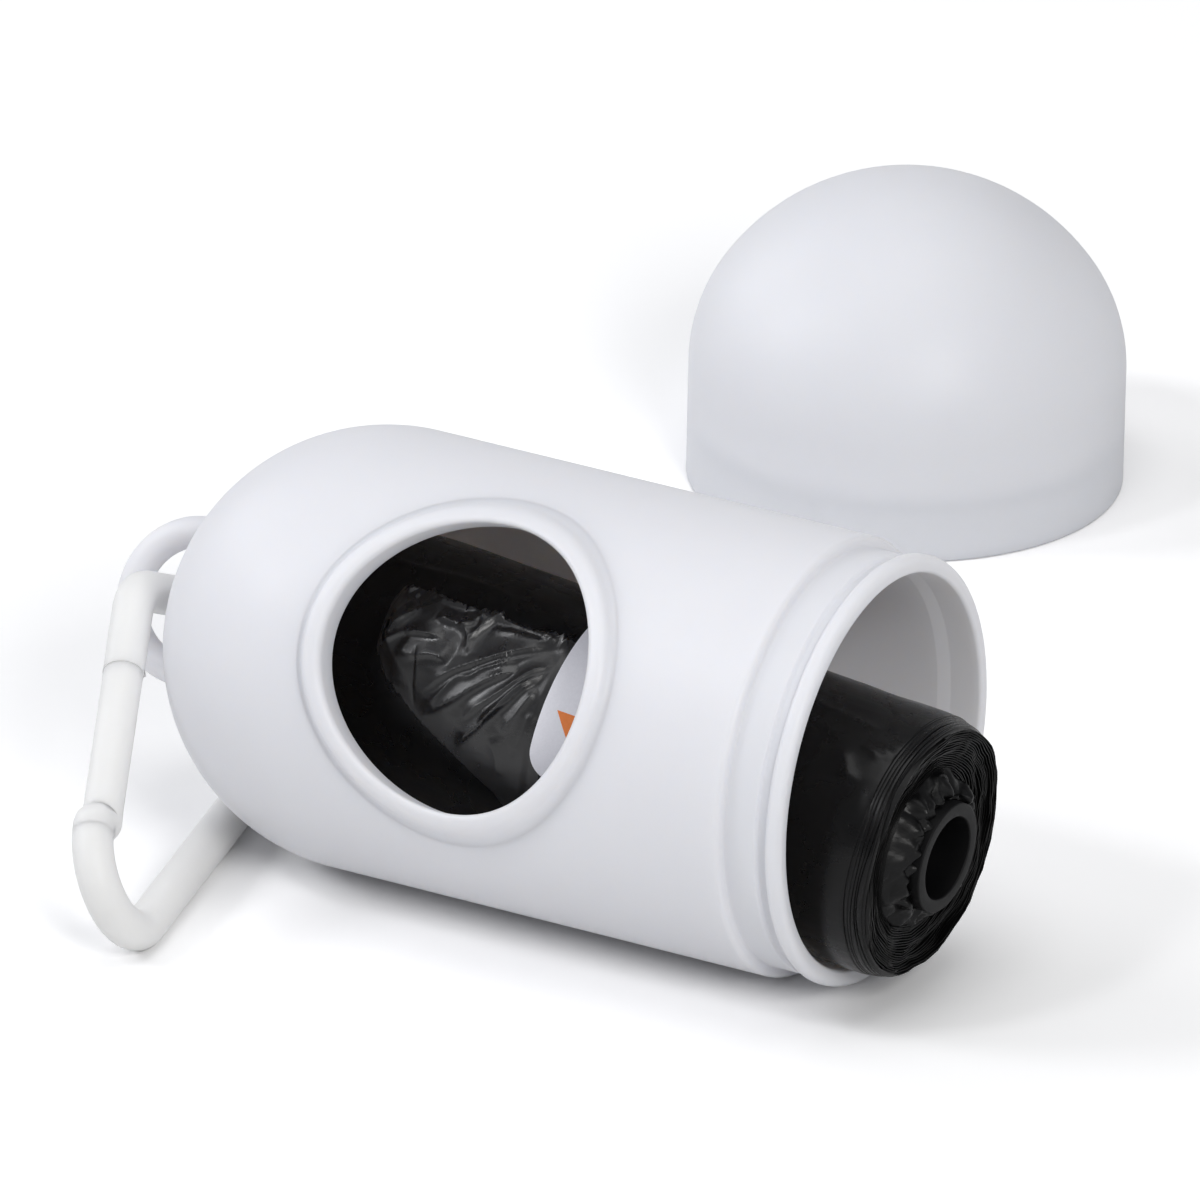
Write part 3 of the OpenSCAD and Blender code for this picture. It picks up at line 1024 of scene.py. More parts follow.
@dataclass
class Cap:
    """The snap cap: a straight side, a corner arc and a flatter crown, with a seat for the neck."""

    radius: float = 21.2
    height: float = 30.6
    side: float = 11.6
    corner: float = 16.5
    wall: float = 1.9
    lip: float = 20.2
    seat: float = 6.4
    seat_edge: float = 0.6
    groove_z: float = 5.4
    groove_half: float = 0.8
    groove_depth: float = 0.4
    skirt: float = 1.2

    def shell_line(self, inset: float, base: float) -> np.ndarray:
        """The dome's line from its side to its crown, grown inwards.

        Args:
            inset: how far it lies inside the outer surface.
            base: the height at which it starts.

        Returns:
            (radius, height) of each point.
        """
        rise, run = self.height - self.corner, self.radius - self.corner
        crown_z = (rise ** 2 - run ** 2 - self.side ** 2) / (2 * (rise - self.side))
        half = math.degrees(math.atan2(run, self.side - crown_z))
        crown = self.height - crown_z
        side = rounded([(self.radius - inset, base, 0.0), (self.radius - inset, self.side, 0.0)])
        bend = arc((run, self.side), self.corner - inset, 0.0, 90.0 - half, parts=40)[1:]
        top = arc((0.0, crown_z), crown - inset, 90.0 - half, 90.0, parts=24)[1:]
        return np.concatenate([side, bend, top])

    def build(self, finish: Material) -> None:
        """Builds and dresses the cap.

        Args:
            finish: the housing's material.
        """
        low, high = corners_mm("cap")
        centre = np.array([(low[0] + high[0]) / 2, (low[1] + high[1]) / 2, low[2]])
        inner, edge = self.radius - self.wall, self.seat + self.seat_edge
        # each corner: radius, height, and how far it is rounded
        mouth = rounded([
            (inner, edge, 0.0), (inner, self.seat, 0.2), (self.lip, self.seat, 0.15),
            (self.lip, self.groove_z + self.groove_half, 0.3),
            (self.lip + self.groove_depth, self.groove_z, 0.5),
            (self.lip, self.groove_z - self.groove_half, 0.3), (self.lip, 0.0, 0.25),
            (self.radius, 0.0, 0.3), (self.radius, self.skirt, 0.0),
        ])
        outside = self.shell_line(0.0, self.skirt)[1:]
        inside = self.shell_line(self.wall, edge)[::-1]
        profile = np.concatenate([inside[:-1], mouth, outside])
        cap = Piece.turned("snap_cap", profile, Axes(centre, *np.eye(3)), steps=288)
        Piece.dress(cap, finish, Body.CAP, Slot.HOUSING, ["cap"])


# ---- clip ----


@dataclass
class SnapClip:
    """The moulded snap clip: one round rod bent into a loop, with a gate arm that flexes."""

    rod: float = 1.95
    rod_sides: int = 40
    narrow: float = 5.9
    span: float = 30.2
    gate_slope: float = 27.0
    bar_slope: float = 28.0
    bend: float = 5.0
    jog: float = 1.15
    stub: float = 2.0
    gate_len: float = 18.0
    tongue_len: float = 2.6
    tongue: float = 0.9
    lead_in: float = 0.35
    seam: float = 0.09
    cut_edge: float = 0.02
    bow_nose: float = 1.3
    hang_step: float = 4.0
    lean: float = 67.0
    body_radius: float = 21.0
    flex_from: float = 1.8
    flex_to: float = 2.4

    @cached_property
    def plane(self) -> Axes:
        """X along the spine, Y towards the gate and Z across the clip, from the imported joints.

        Returns:
            The clip's frame.
        """
        swing, gate = joint("clip_swing"), joint("gate_open")
        bar = unit(swing["axis"])
        across = -unit(gate["axis"])
        side = np.cross(across, bar)
        c, s = math.cos(math.radians(self.bar_slope)), math.sin(math.radians(self.bar_slope))
        u, v = c * bar + s * side, c * side - s * bar
        hang = np.array(swing["pos_m"]) / MM
        spot = self.bar_end() - self.hang_step * self.heading(-self.bar_slope)
        return Axes(hang - spot[0] * u - spot[1] * v, u, v, across)

    @staticmethod
    def heading(degrees: float) -> np.ndarray:
        """A direction in the clip's plane."""
        return np.array([math.cos(math.radians(degrees)), math.sin(math.radians(degrees))])

    @property
    def wide(self) -> float:
        """The wide end's radius, as deep as it takes to reach from the eyelet to the table.

        Returns:
            The radius in millimetres.
        """
        slope = math.radians(self.bar_slope)
        deep = (self.body_radius - self.rod) / math.sin(math.radians(self.lean))
        return (deep - self.hang_step * math.sin(slope)) / (1 + math.cos(slope))

    def bar_end(self) -> np.ndarray:
        """Where the wide end's arc meets the hanging bar.

        Returns:
            The point in the clip's plane.
        """
        slope = math.radians(self.bar_slope)
        across = self.wide * (1 + math.cos(slope))
        return np.array([self.span + self.wide * math.sin(slope), across])

    def bow_end(self) -> np.ndarray:
        """Where the narrow bow meets the gate's stub."""
        slope = math.radians(self.gate_slope)
        return np.array([-self.narrow * math.sin(slope), self.narrow * (1 + math.cos(slope))])

    def hinge(self) -> np.ndarray:
        """The gate's root, stepped inwards from the bow."""
        inward = self.heading(self.gate_slope - 90)
        return self.bow_end() + self.stub * self.heading(self.gate_slope) + self.jog * inward

    def seam_spot(self) -> np.ndarray:
        """Where the arm's full rod ends and its tongue begins."""
        return self.hinge() + self.gate_len * self.heading(self.gate_slope)

    def frame_path(self) -> np.ndarray:
        """The rod's centreline from the nose round to the stub.

        Returns:
            Its points in the clip's plane.
        """
        ahead, down = self.heading(self.gate_slope), self.heading(-self.bar_slope)
        crossing = np.column_stack([ahead, -down])
        reach = np.linalg.solve(crossing, self.bar_end() - self.hinge())[0]
        corner = self.hinge() + reach * ahead
        seam = self.seam_spot()
        lap = seam + (self.tongue_len + self.seam) * ahead
        nose = [seam + self.seam * ahead, lap, lap + self.cut_edge * ahead]
        line = rounded([
            (*(lap + 0.3 * ahead), 0.0), (*corner, self.bend), (*self.bar_end(), 0.0)
        ], step=1.0, arc_steps=24)
        wide = arc((self.span, self.wide), self.wide, 90 - self.bar_slope, -90, 48)[1:]
        spine = rounded([(self.span, 0.0, 0.0), (0.0, 0.0, 0.0)], step=1.0)[1:]
        narrow = arc((0.0, self.narrow), self.narrow, 270, 90 + self.gate_slope, 48)[1:]
        end = [self.bow_end() + self.bow_nose * math.sin(a) * ahead
               for a in np.linspace(0.2, math.pi / 2, 7)]
        return np.concatenate([nose, line, wide, spine, narrow, end])

    def gate_path(self) -> np.ndarray:
        """The arm's centreline from the bow through the step to the tongue's tip.

        Returns:
            Its points in the clip's plane.
        """
        # the arm starts this far back in the bow, in degrees, and its step is this long
        sunk_turn, step_len = 14, 2.2
        ahead, inward = self.heading(self.gate_slope), self.heading(self.gate_slope - 90)
        start, bow = self.bow_end(), 90 + self.gate_slope
        sunk = arc((0.0, self.narrow), self.narrow, bow + sunk_turn, bow, 7)[:-1]
        step = []
        for t in np.linspace(0, 1, 14):
            aside = self.jog * float(smoothstep(0.25, 0.8, np.array(t)))
            step.append(start + t * step_len * ahead + aside * inward)
        seam = self.seam_spot()
        straight = rounded([(*(step[-1] + 0.8 * ahead), 0.0), (*seam, 0.0)], step=1.0)
        tip = [seam + part * ahead
               for part in (self.cut_edge, 0.5 * self.tongue_len, self.tongue_len)]
        return np.concatenate([sunk, step, straight, tip])

    def rod_tree(self) -> tuple[NodeTree, dict[str, str]]:
        """Builds the tree that turns a path into a closed round rod.

        Returns:
            The tree, and the identifier of each named input.
        """
        tree, sockets, given = start_shape("rod_along_path", {
            "Path": "Geometry", "Rod radius": "Float", "Sides": "Int", "Finish": "Material",
        })
        path = add_node(tree, "GeometryNodeMeshToCurve", {"Mesh": given["Path"]})
        ring = add_node(
            tree, "GeometryNodeCurvePrimitiveCircle",
            {"Resolution": given["Sides"], "Radius": given["Rod radius"]}, mode="RADIUS",
        )
        rod = add_node(
            tree, "GeometryNodeCurveToMesh",
            {"Curve": path, "Profile Curve": ring, "Fill Caps": True},
        )
        end_shape(tree, rod, given["Finish"])
        return tree, sockets

    def build_rod(
        self,
        name: str,
        path: np.ndarray,
        shape: tuple[NodeTree, dict[str, str]],
        finish: Material,
        is_arm: bool,
    ) -> Object:
        """Makes one rod and cuts its half of the lap at the seam.

        Args:
            name: the object's name.
            path: its centreline in the clip's plane.
            shape: the rod's tree and its inputs.
            finish: the clip's material.
            is_arm: whether the rod is the arm, which keeps the lap's inner side as its tongue.

        Returns:
            The rod, linked to the scene.
        """
        flat = np.column_stack([path, np.zeros(len(path))])
        links = [(i, i + 1) for i in range(len(flat) - 1)]
        obj = Piece.from_arrays(name, flat, [], links)
        values = {"Rod radius": self.rod * MM, "Sides": self.rod_sides, "Finish": finish}
        points = Piece.grow(obj, *shape, values)
        self.shape_root(points, flat, is_arm)
        self.cut_lap(points, is_arm)
        Piece.settle(obj, self.plane.place(points), sharp=38)
        return obj

    def shape_root(self, points: np.ndarray, path: np.ndarray, is_arm: bool) -> None:
        """Rounds the bow's end, or sinks the arm's first rings into it, so that no edge shows.

        Args:
            points: the rod's points, ring by ring, which it changes.
            path: its centreline.
            is_arm: whether the rod is the arm.
        """
        rings = points.reshape(len(path), -1, 3)
        steps = np.linalg.norm(np.diff(path, axis=0), axis=1)
        run = np.concatenate([[0.0], np.cumsum(steps)])
        if is_arm:
            # slimmer inside the bow, full at the step and a little slimmer along the arm
            scale = 0.96 + 0.048 * smoothstep(0.0, 1.3, run) - 0.038 * smoothstep(3.0, 6.0, run)
        else:
            inwards = 1 - np.clip((run[-1] - run) / self.bow_nose, 0, 1)
            scale = np.sqrt(1 - 0.96 * inwards ** 2)
        rings[:] = path[:, None] + (rings - path[:, None]) * scale[:, None, None]

    def cut_lap(self, points: np.ndarray, is_arm: bool) -> None:
        """Flattens the rod's points that lie beyond the seam onto the lap's face.

        Args:
            points: the rod's points, which it changes.
            is_arm: whether the rod is the arm.
        """
        slack = 0.01
        ahead, outward = self.heading(self.gate_slope), self.heading(self.gate_slope + 90)
        seam = self.seam_spot()
        along = (points[:, :2] - seam) @ ahead
        out = (points[:, :2] - seam) @ outward
        beyond = (along > slack) & (np.abs(out) < self.rod + 0.1)
        if is_arm:
            face = self.tongue - self.rod
            moved = np.where(beyond, np.minimum(out, face) - out, 0.0)
            # the tongue narrows to its tip, clear of the dome when the arm is pressed
            points[:, 2] *= 1 - self.lead_in * smoothstep(0.0, self.tongue_len, along)
        else:
            face = self.tongue - self.rod + self.seam / 2
            lapped = beyond & (along < self.tongue_len + self.seam + slack)
            moved = np.where(lapped, np.maximum(out, face) - out, 0.0)
        points[:, :2] += moved[:, None] * outward

    def build(self, finish: Material) -> None:
        """Builds and dresses the loop, and builds the gate arm with the clip's material.

        Args:
            finish: the clip's material.
        """
        shape = self.rod_tree()
        loop = self.build_rod("clip_loop", self.frame_path(), shape, finish, False)
        Piece.dress(loop, finish, Body.CLIP, Slot.CLIP, ["clip_frame"])
        arm = self.build_rod("clip_gate_arm", self.gate_path(), shape, finish, True)
        arm.data.materials.clear()
        arm.data.materials.append(finish)
        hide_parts("clip_gate")
        root, ahead = self.hinge(), self.heading(self.gate_slope)
        ends = np.array([
            [*(root - self.flex_from * ahead), 0.0], [*(root + self.flex_to * ahead), 0.0]
        ])
        start, end = self.plane.place(ends) * MM
        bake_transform(arm)
        LOG.info("%s: %d faces from clip to gate", arm.name, len(arm.data.polygons))


# ---- bag roll ----


@dataclass
class BagRoll:
    """The refill roll: core tube, wound film with stepped ends, loose bag end and label."""

    radius: float = 12.8
    film_len: float = 71.2
    end_depth: float = 4.0
    core_radius: float = 5.35
    core_bore: float = 4.05
    core_proud: float = 1.7
    core_gap: float = 0.06
    turns: int = 26
    loose_end: float = 34.6
    loose_top: float = 25.0
    loose_bottom: float = 112.0
    label_start: float = 34.9
    label_width: float = 20.0
    label_top: float = 5.0
    label_bottom: float = 85.0
    label_corner: float = 2.5
    label_thick: float = 0.2
    film_gap: float = 0.1
    # random fields: seed, waves round the roll, their lengths along it, and how many there are
    hollows: Ripples = Ripples(7, (1, 4), (18.0, 60.0))
    creases: Ripples = Ripples(11, (3, 9), (9.0, 40.0), 30)
    end_wave: Ripples = Ripples(5, (2, 7), (6.0, 30.0), 12)
    stray_turns: Ripples = Ripples(9, (1, 5), (0.45, 1.6), 16)
    pleats: Ripples = Ripples(21, (6, 15), (3.0, 12.0), 22)
    pleat_sway: Ripples = Ripples(22, (5, 13), (2.0, 9.0), 16)
    pleat_flakes: Facets = Facets(23, (0.9, 2.4))
    pleat_reach: Ripples = Ripples(24, (1, 5), (6.0, 20.0), 8)
    swell: Ripples = Ripples(33, (2, 6), (5.0, 14.0), 14)
    coarse_crumple: Facets = Facets(35, (3.2, 8.0))
    fine_crumple: Facets = Facets(36, (0.7, 1.8))
    torn_teeth: Ripples = Ripples(41, (5, 30), (0.8, 4.0), 30)
    # folds of the wound skin, and of the loose end
    dents: tuple[Fold, ...] = (
        Fold(((63.8, 30), (64.8, 34), (65.6, 39), (66.8, 44)), 0.34, 0.5, 0.8),
        Fold(((66.0, 26), (67.2, 27), (67.9, 31)), 0.24, 0.35, 0.3),
        Fold(((67.2, 22), (68.4, 25), (68.6, 29)), 0.2, 0.3, 0.25),
        Fold(((56.5, 8), (60.0, 12), (64.5, 14), (68.0, 19)), 0.14, 0.5, 0.9),
        Fold(((57.0, 20), (60.5, 23), (64.0, 24)), 0.1, 0.4, 0.8),
        Fold(((60.0, 70), (64.0, 66), (68.0, 58)), 0.1, 1.0, 0.5),
        Fold(((16.0, 14), (22.0, 11), (27.0, 13)), 0.12, 0.4, 0.7),
        Fold(((9.0, 18), (14.0, 14), (21.0, 15)), 0.1, 0.3, 0.7),
        Fold(((58.0, 152), (62.0, 160), (67.0, 158)), 0.16, 0.6, 0.6),
        Fold(((40.0, 210), (48.0, 222), (60.0, 219)), 0.14, 0.8, 0.5),
    )
    folds: tuple[Fold, ...] = (
        Fold(((33.6, 30), (30.2, 39), (28.3, 45), (26.4, 51), (24.7, 57), (22.2, 69)),
             0.46, 1.5, 0.3),
        Fold(((33.4, 33), (30.6, 42), (29.1, 47), (27.8, 51), (26.9, 55), (25.6, 58),
              (24.0, 70), (22.0, 80)), 0.2, 0.4, 0.3),
        Fold(((31.4, 46), (29.1, 53), (27.4, 60), (25.6, 68), (21.6, 81)), 0.6, 1.9, 0.26),
        Fold(((34.4, 38), (32.5, 45), (31.3, 52), (30.2, 58), (28.5, 66), (27.2, 73)),
             0.42, 0.9, 0.24),
        Fold(((34.3, 41), (32.3, 51), (31.2, 58), (30.4, 65), (29.2, 72)), 0.34, 0.6, 0.2),
        Fold(((34.1, 43), (32.4, 53), (31.4, 60), (30.1, 67), (29.1, 74), (28.0, 80),
              (27.0, 89)), 0.46, 0.8, 0.24),
        Fold(((33.8, 50), (33.0, 59), (32.5, 65), (31.4, 73)), 0.36, 0.9, 0.4),
        Fold(((32.8, 31), (30.6, 32), (28.9, 32), (27.7, 33), (26.4, 32)), 0.3, 0.5, 0.6),
        Fold(((16.5, 56), (17.2, 49), (17.7, 44), (18.7, 38), (19.8, 33), (20.6, 30),
              (21.8, 24)), 0.4, 0.5, 1.1),
        Fold(((16.7, 55), (17.9, 51), (19.0, 47), (20.7, 45), (23.0, 44)), 0.34, 0.9, 0.22),
        Fold(((20.6, 49), (21.1, 58), (21.5, 66), (22.1, 74), (22.2, 80)), -0.12, 0.2, 0.2),
        Fold(((21.1, 36), (23.6, 36), (25.4, 32)), 0.34, 0.8, 0.3),
        Fold(((23.6, 35), (24.9, 39), (25.7, 48)), 0.26, 0.5, 0.5),
        Fold(((25.0, 42), (25.9, 33), (26.6, 28), (27.8, 25)), 0.4, 0.6, 0.4),
        Fold(((17.0, 47), (17.7, 37), (18.4, 31)), 0.34, 0.5, 0.9),
        Fold(((19.4, 70), (18.9, 61), (16.7, 54)), 0.24, 1.0, 0.4),
        Fold(((18.6, 54), (20.4, 55), (22.6, 52), (24.6, 53)), 0.34, 1.6, 0.35),
        Fold(((30.5, 76), (31.6, 84), (32.0, 92)), 0.14, 0.8, 0.5),
        Fold(((33.9, 60), (33.8, 70), (33.2, 82)), 0.16, 0.5, 0.7),
        Fold(((19.6, 27), (21.4, 28), (23.0, 27), (24.6, 27)), 0.3, 0.25, 0.2),
        Fold(((26.6, 28), (28.8, 28), (31.0, 28), (33.2, 29)), 0.28, 0.25, 0.2),
    )
    # tufts of the torn edge that stand up: place along the roll, angle round it
    tufts: tuple[tuple[float, float], ...] = (
        (17.4, 27), (19.6, 26), (25.4, 29), (27.0, 25), (32.5, 28), (33.6, 27)
    )

    @cached_property
    def axes(self) -> Axes:
        """Z along the roll from its rear end, X up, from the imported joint.

        Returns:
            The roll's frame.
        """
        turn = joint("roll_turn")
        along = unit(turn["axis"])
        up = np.array([0.0, 0.0, 1.0])
        up = unit(up - (up @ along) * along)
        return Axes(np.array(turn["pos_m"]) / MM, up, np.cross(along, up), along)

    def build_core(self, finish: Material) -> None:
        """Turns the core tube, with eased edges at its ends.

        Args:
            finish: the tube's material.
        """
        low, high, eased = -self.core_proud, self.film_len + self.core_proud, 0.15
        profile = rounded([
            (self.core_radius, low, eased), (self.core_radius, high, eased),
            (self.core_bore, high, eased), (self.core_bore, low, eased),
        ], step=1.5, closed=True)
        profile = np.concatenate([profile, profile[:1]])
        core = Piece.turned("core_tube", profile, self.axes, steps=96)
        Piece.dress(core, finish, Body.CORE, Slot.CORE, ["roll_core"])

    def end_line(self) -> np.ndarray:
        """The winding's front end: turns that stand back in steps, then a dish to the core.

        Returns:
            (radius, place along the roll) of each point.
        """
        step_back, step_up, eased = 0.09, 0.34, 0.02
        steps = []
        for i in range(6):
            radius, place = self.radius - 0.01 - step_back * i, 2.1 + step_up * i
            steps += [
                (radius, place - 0.03, eased), (radius - 0.2, place, eased),
                (radius - 0.1, place + 0.05, eased),
            ]
        return rounded([
            (self.radius, 1.9, 0.0), *steps, (self.radius - 0.9, self.end_depth, 0.15),
            (self.radius - 1.5, 3.4, 0.3), (9.0, 2.7, 1.0), (7.2, 2.4, 1.0),
            (self.core_radius + self.core_gap, 2.4, 0.0),
        ], step=0.4, arc_steps=2)

    def build_film(self, finish: Material) -> None:
        """Skins the winding, with the soft dents and wavy ends that hand-wound film has.

        Args:
            finish: the wound film's material.
        """
        front = self.end_line() + np.array([0.0, self.film_len - self.end_depth])
        rear = front[::-1].copy()
        rear[:, 1] = self.film_len - rear[:, 1]
        middle = rounded([(*rear[-1], 0.0), (*front[0], 0.0)], step=0.55)[1:-1]
        bore = rounded([(*front[-1], 0.0), (*rear[0], 0.0)], step=2.0)[1:]
        profile = np.concatenate([rear, middle, front, bore])
        angles = full_turn(288)
        radius = np.repeat(profile[:, :1], len(angles), 1)
        along = np.repeat(profile[:, 1:], len(angles), 1)
        # how far a point belongs to the winding, to its skin and to one of its ends
        outer = smoothstep(6.0, 11.5, radius)
        skin = smoothstep(self.radius - 0.35, self.radius - 0.02, radius)
        at_rear = smoothstep(self.end_depth, 0.0, along)
        at_front = smoothstep(self.film_len - self.end_depth, self.film_len, along)
        near_end = np.maximum(at_rear, at_front)
        # the skin sinks in soft hollows between creases
        soft = self.hollows.at(angles, along)
        creased = self.creases.at(angles, along)
        ridges = np.maximum(0.0, creased) ** 2
        radius = radius - skin * (0.06 + 0.03 * soft + 0.05 * ridges).clip(0, 0.3)
        # the ends draw in unevenly, and single turns stray
        wave = self.end_wave.at(angles, radius * 2.0)
        radius = radius - near_end * outer * (0.10 + 0.07 * wave).clip(0, 0.3)
        inwards = np.where(along > self.film_len / 2, -1.0, 1.0)
        stray = self.stray_turns.at(angles, along)
        radius = radius - near_end * skin * 0.05 * (1 + stray).clip(0, 2)
        sunk = (0.2 + 0.12 * wave + 0.1 * stray).clip(0, 0.6)
        along = along + inwards * near_end * smoothstep(5.6, 7.0, radius) * sunk
        arc_mm = np.broadcast_to(angles * self.radius, along.shape)
        for fold in self.dents:
            radius = radius + skin * fold.lift(along, arc_mm, self.radius)
        grid = round_axis(radius, angles, along)
        film = Piece.from_grid("wound_film", self.axes.place(grid), (True, True))
        Piece.dress(film, finish, Body.FILM, Slot.FILM, ["bag_roll"])

    def edge_tree(self) -> tuple[NodeTree, dict[str, str]]:
        """Builds the tree that winds the film's cut edges into a dished, uneven spiral.

        Returns:
            The tree, and the identifier of each named input.
        """
        sizes = (
            "Turns", "Outer radius", "Inner radius", "Dish depth", "Edge height",
            "Film thickness", "Wobble", "Stagger",
        )
        tree, sockets, given = start_shape(
            "wound_film_edges", {**dict.fromkeys(sizes, "Float"), "Finish": "Material"}
        )
        spiral = add_node(
            tree, "GeometryNodeCurveSpiral",
            {"Resolution": 72, "Rotations": given["Turns"], "Start Radius": given["Outer radius"],
             "End Radius": given["Inner radius"], "Height": given["Dish depth"]},
        )
        spot = add_node(tree, "GeometryNodeInputPosition").outputs["Position"]
        # sideways: long waves that neighbouring turns share
        noise = add_node(
            tree, "ShaderNodeTexNoise",
            {"Vector": spot, "Scale": per_metre(5.0), "Detail": 3.0, "Roughness": 0.6},
        )
        centred = add_node(
            tree, "ShaderNodeVectorMath", {0: noise.outputs["Color"], 1: (0.5, 0.5, 0.5)},
            operation="SUBTRACT",
        )
        offset = add_node(
            tree, "ShaderNodeVectorMath", {0: centred, "Scale": given["Wobble"]},
            operation="SCALE",
        )
        # lengthways: bundles of turns stand proud of the next, so the noise is drawn out inwards
        reach = add_node(tree, "ShaderNodeVectorMath", {0: spot}, operation="LENGTH")
        stretched = add_node(
            tree, "ShaderNodeMath", {0: reach.outputs["Value"], 1: 6.0}, operation="MULTIPLY"
        )
        radial = add_node(tree, "ShaderNodeCombineXYZ", {"Z": stretched})
        where = add_node(tree, "ShaderNodeVectorMath", {0: spot, 1: radial}, operation="ADD")
        bundle = add_node(
            tree, "ShaderNodeTexNoise", {"Vector": where, "Scale": per_metre(6.0), "Detail": 2.0}
        )
        proud = add_node(
            tree, "ShaderNodeMath", {0: bundle, 1: given["Stagger"]}, operation="MULTIPLY"
        )
        rise = add_node(tree, "ShaderNodeCombineXYZ", {"Z": proud})
        both = add_node(tree, "ShaderNodeVectorMath", {0: offset, 1: rise}, operation="ADD")
        moved = add_node(tree, "GeometryNodeSetPosition", {"Geometry": spiral, "Offset": both})
        strip = add_node(
            tree, "GeometryNodeCurvePrimitiveQuadrilateral",
            {"Width": given["Film thickness"], "Height": given["Edge height"]}, mode="RECTANGLE",
        )
        wound = add_node(
            tree, "GeometryNodeCurveToMesh",
            {"Curve": moved, "Profile Curve": strip, "Fill Caps": True},
        )
        end_shape(tree, wound, given["Finish"])
        return tree, sockets

    def build_edges(self, finish: Material) -> None:
        """Winds the film's edges over both ends of the roll.

        Args:
            finish: the cut edges' material.
        """
        # the edges lie this deep in the roll's end
        depth = 1.25
        shape = self.edge_tree()
        values = {
            "Turns": float(self.turns), "Outer radius": (self.radius - 0.85) * MM,
            "Inner radius": 6.6 * MM, "Dish depth": -1.3 * MM, "Edge height": 1.0 * MM,
            "Film thickness": 0.07 * MM, "Wobble": 0.9 * MM, "Stagger": 1.5 * MM,
            "Finish": finish,
        }
        for name, place, facing in (("front", self.film_len, 1.0), ("rear", 0.0, -1.0)):
            obj = Piece.from_arrays(f"film_edges_{name}", np.zeros((0, 3)), [])
            points = Piece.grow(obj, *shape, values)
            points[:, 2] = place + facing * (points[:, 2] - depth)
            Piece.settle(obj, self.axes.place(points), sharp=40)
            Piece.dress(obj, finish, Body.FILM, Slot.FILM)

    def build_ruffle(self, finish: Material) -> None:
        """Skins the crumpled innermost film that rises round the core, almost to its end.

        Args:
            finish: the crumpled film's material.
        """
        rows, width, tallest, foot = 40, 2.5, 1.75, 2.6
        t, angles = np.meshgrid(np.linspace(0, 1, rows), full_turn(288), indexing="ij")
        base = self.core_radius + 0.08 + width * t
        pleats = np.abs(self.pleats.at(angles, base * 1.4))
        flakes = self.pleat_flakes.at(angles * 6.8, base * 1.3)
        reach = 0.75 + 0.25 * self.pleat_reach.at(angles, np.zeros_like(base))
        tall = tallest * reach * (1 - smoothstep(0.25, 1.0, t)) ** 0.8
        crumple = (0.5 * pleats + 1.2 * flakes) * (1 - 0.55 * t)
        height = self.film_len - 1.7 + 1.3 * tall + crumple
        # it stays below the core's own end
        height = np.minimum(height, self.film_len + self.core_proud - 0.08 - 0.25 * t)
        sway = 0.45 * self.pleat_sway.at(angles, base) * np.sin(math.pi * t)
        radius = np.maximum(base + sway, self.core_radius + self.core_gap)
        top = round_axis(radius, angles, height)
        under = top[::-1].copy()
        under[..., 2] = self.film_len - foot
        grid = np.concatenate([top, under])
        ruffle = Piece.from_grid("film_ruffle", self.axes.place(grid), (True, True))
        ruffle.data.set_sharp_from_angle(angle=math.radians(35))
        Piece.dress(ruffle, finish, Body.FILM, Slot.FILM)

    def loose_height(self, along: np.ndarray, angle: np.ndarray) -> np.ndarray:
        """How far the loose film stands off the roll: long folds over crumples.

        Args:
            along: places along the roll, in millimetres.
            angle: angles round it, in degrees.

        Returns:
            Heights in millimetres.
        """
        least = 0.03
        arc_mm = np.radians(angle) * self.radius
        # the boundary is crisp where the film is torn, and lies down softly below
        soft = 1.0 + 4.5 * smoothstep(48, 80, angle)
        inside = smoothstep(0.0, 1.0, (along - self.loose_outline(angle)) / soft)
        # crumpled at the torn top edge, and less so in its far corner
        corner = 0.7 * (1 - smoothstep(34, 54, angle)) * (1 - smoothstep(24.5, 28.0, along))
        crumpled = np.maximum(corner, 1 - smoothstep(27, 35, angle))
        facets = self.coarse_crumple.at(along, arc_mm)
        fine = self.fine_crumple.at(along, arc_mm)
        tuft = sum(
            np.exp(-((along - x) ** 2 + (arc_mm - math.radians(a) * self.radius) ** 2) / 0.55)
            for x, a in self.tufts
        )
        swell = self.swell.at(arc_mm / 7.0, along)
        lift = 0.16 + 0.05 * swell + (0.1 + 0.55 * crumpled) * (facets - 0.45)
        lift = lift + 0.06 * crumpled * fine
        lift = lift + np.minimum(tuft, 1.0) * (0.2 + 0.5 * fine)
        # the torn corner bulges, so that a broad slope of it faces left
        slope = np.interp(along, (16.4, 21.4, 22.6, 26.0), (0.0, 0.95, 0.95, 0.0))
        slope = 0.22 * slope * smoothstep(30, 38, angle)
        lift = lift + slope * (1 - smoothstep(57, 66, angle))
        for fold in self.folds:
            lift = lift + fold.lift(along, arc_mm, self.radius)
        return least + inside * np.maximum(lift, least)

    @staticmethod
    def loose_outline(angle: np.ndarray) -> np.ndarray:
        """Where the loose film's far edge lies along the roll, for angles in degrees."""
        return np.interp(angle, (24, 36, 54, 66, 71, 78, 85, 92, 100, 112),
                         (16.4, 16.1, 16.5, 18.2, 20.0, 22.6, 25.4, 28.4, 31.6, 34.0))

    def build_loose(self, finish: Material) -> None:
        """Skins the torn, crumpled bag end that lies over the roll and runs under the label.

        Args:
            finish: the loose film's material.
        """
        rows, cols, sunk = 210, 216, 0.12
        t = np.linspace(0, 1, rows)[:, None]
        s = np.linspace(0, 1, cols)[None, :]
        plain = self.loose_top + (self.loose_bottom - self.loose_top) * s
        outline = self.loose_outline(plain) - 0.1
        along = outline + (self.loose_end + 1.6 - outline) * t
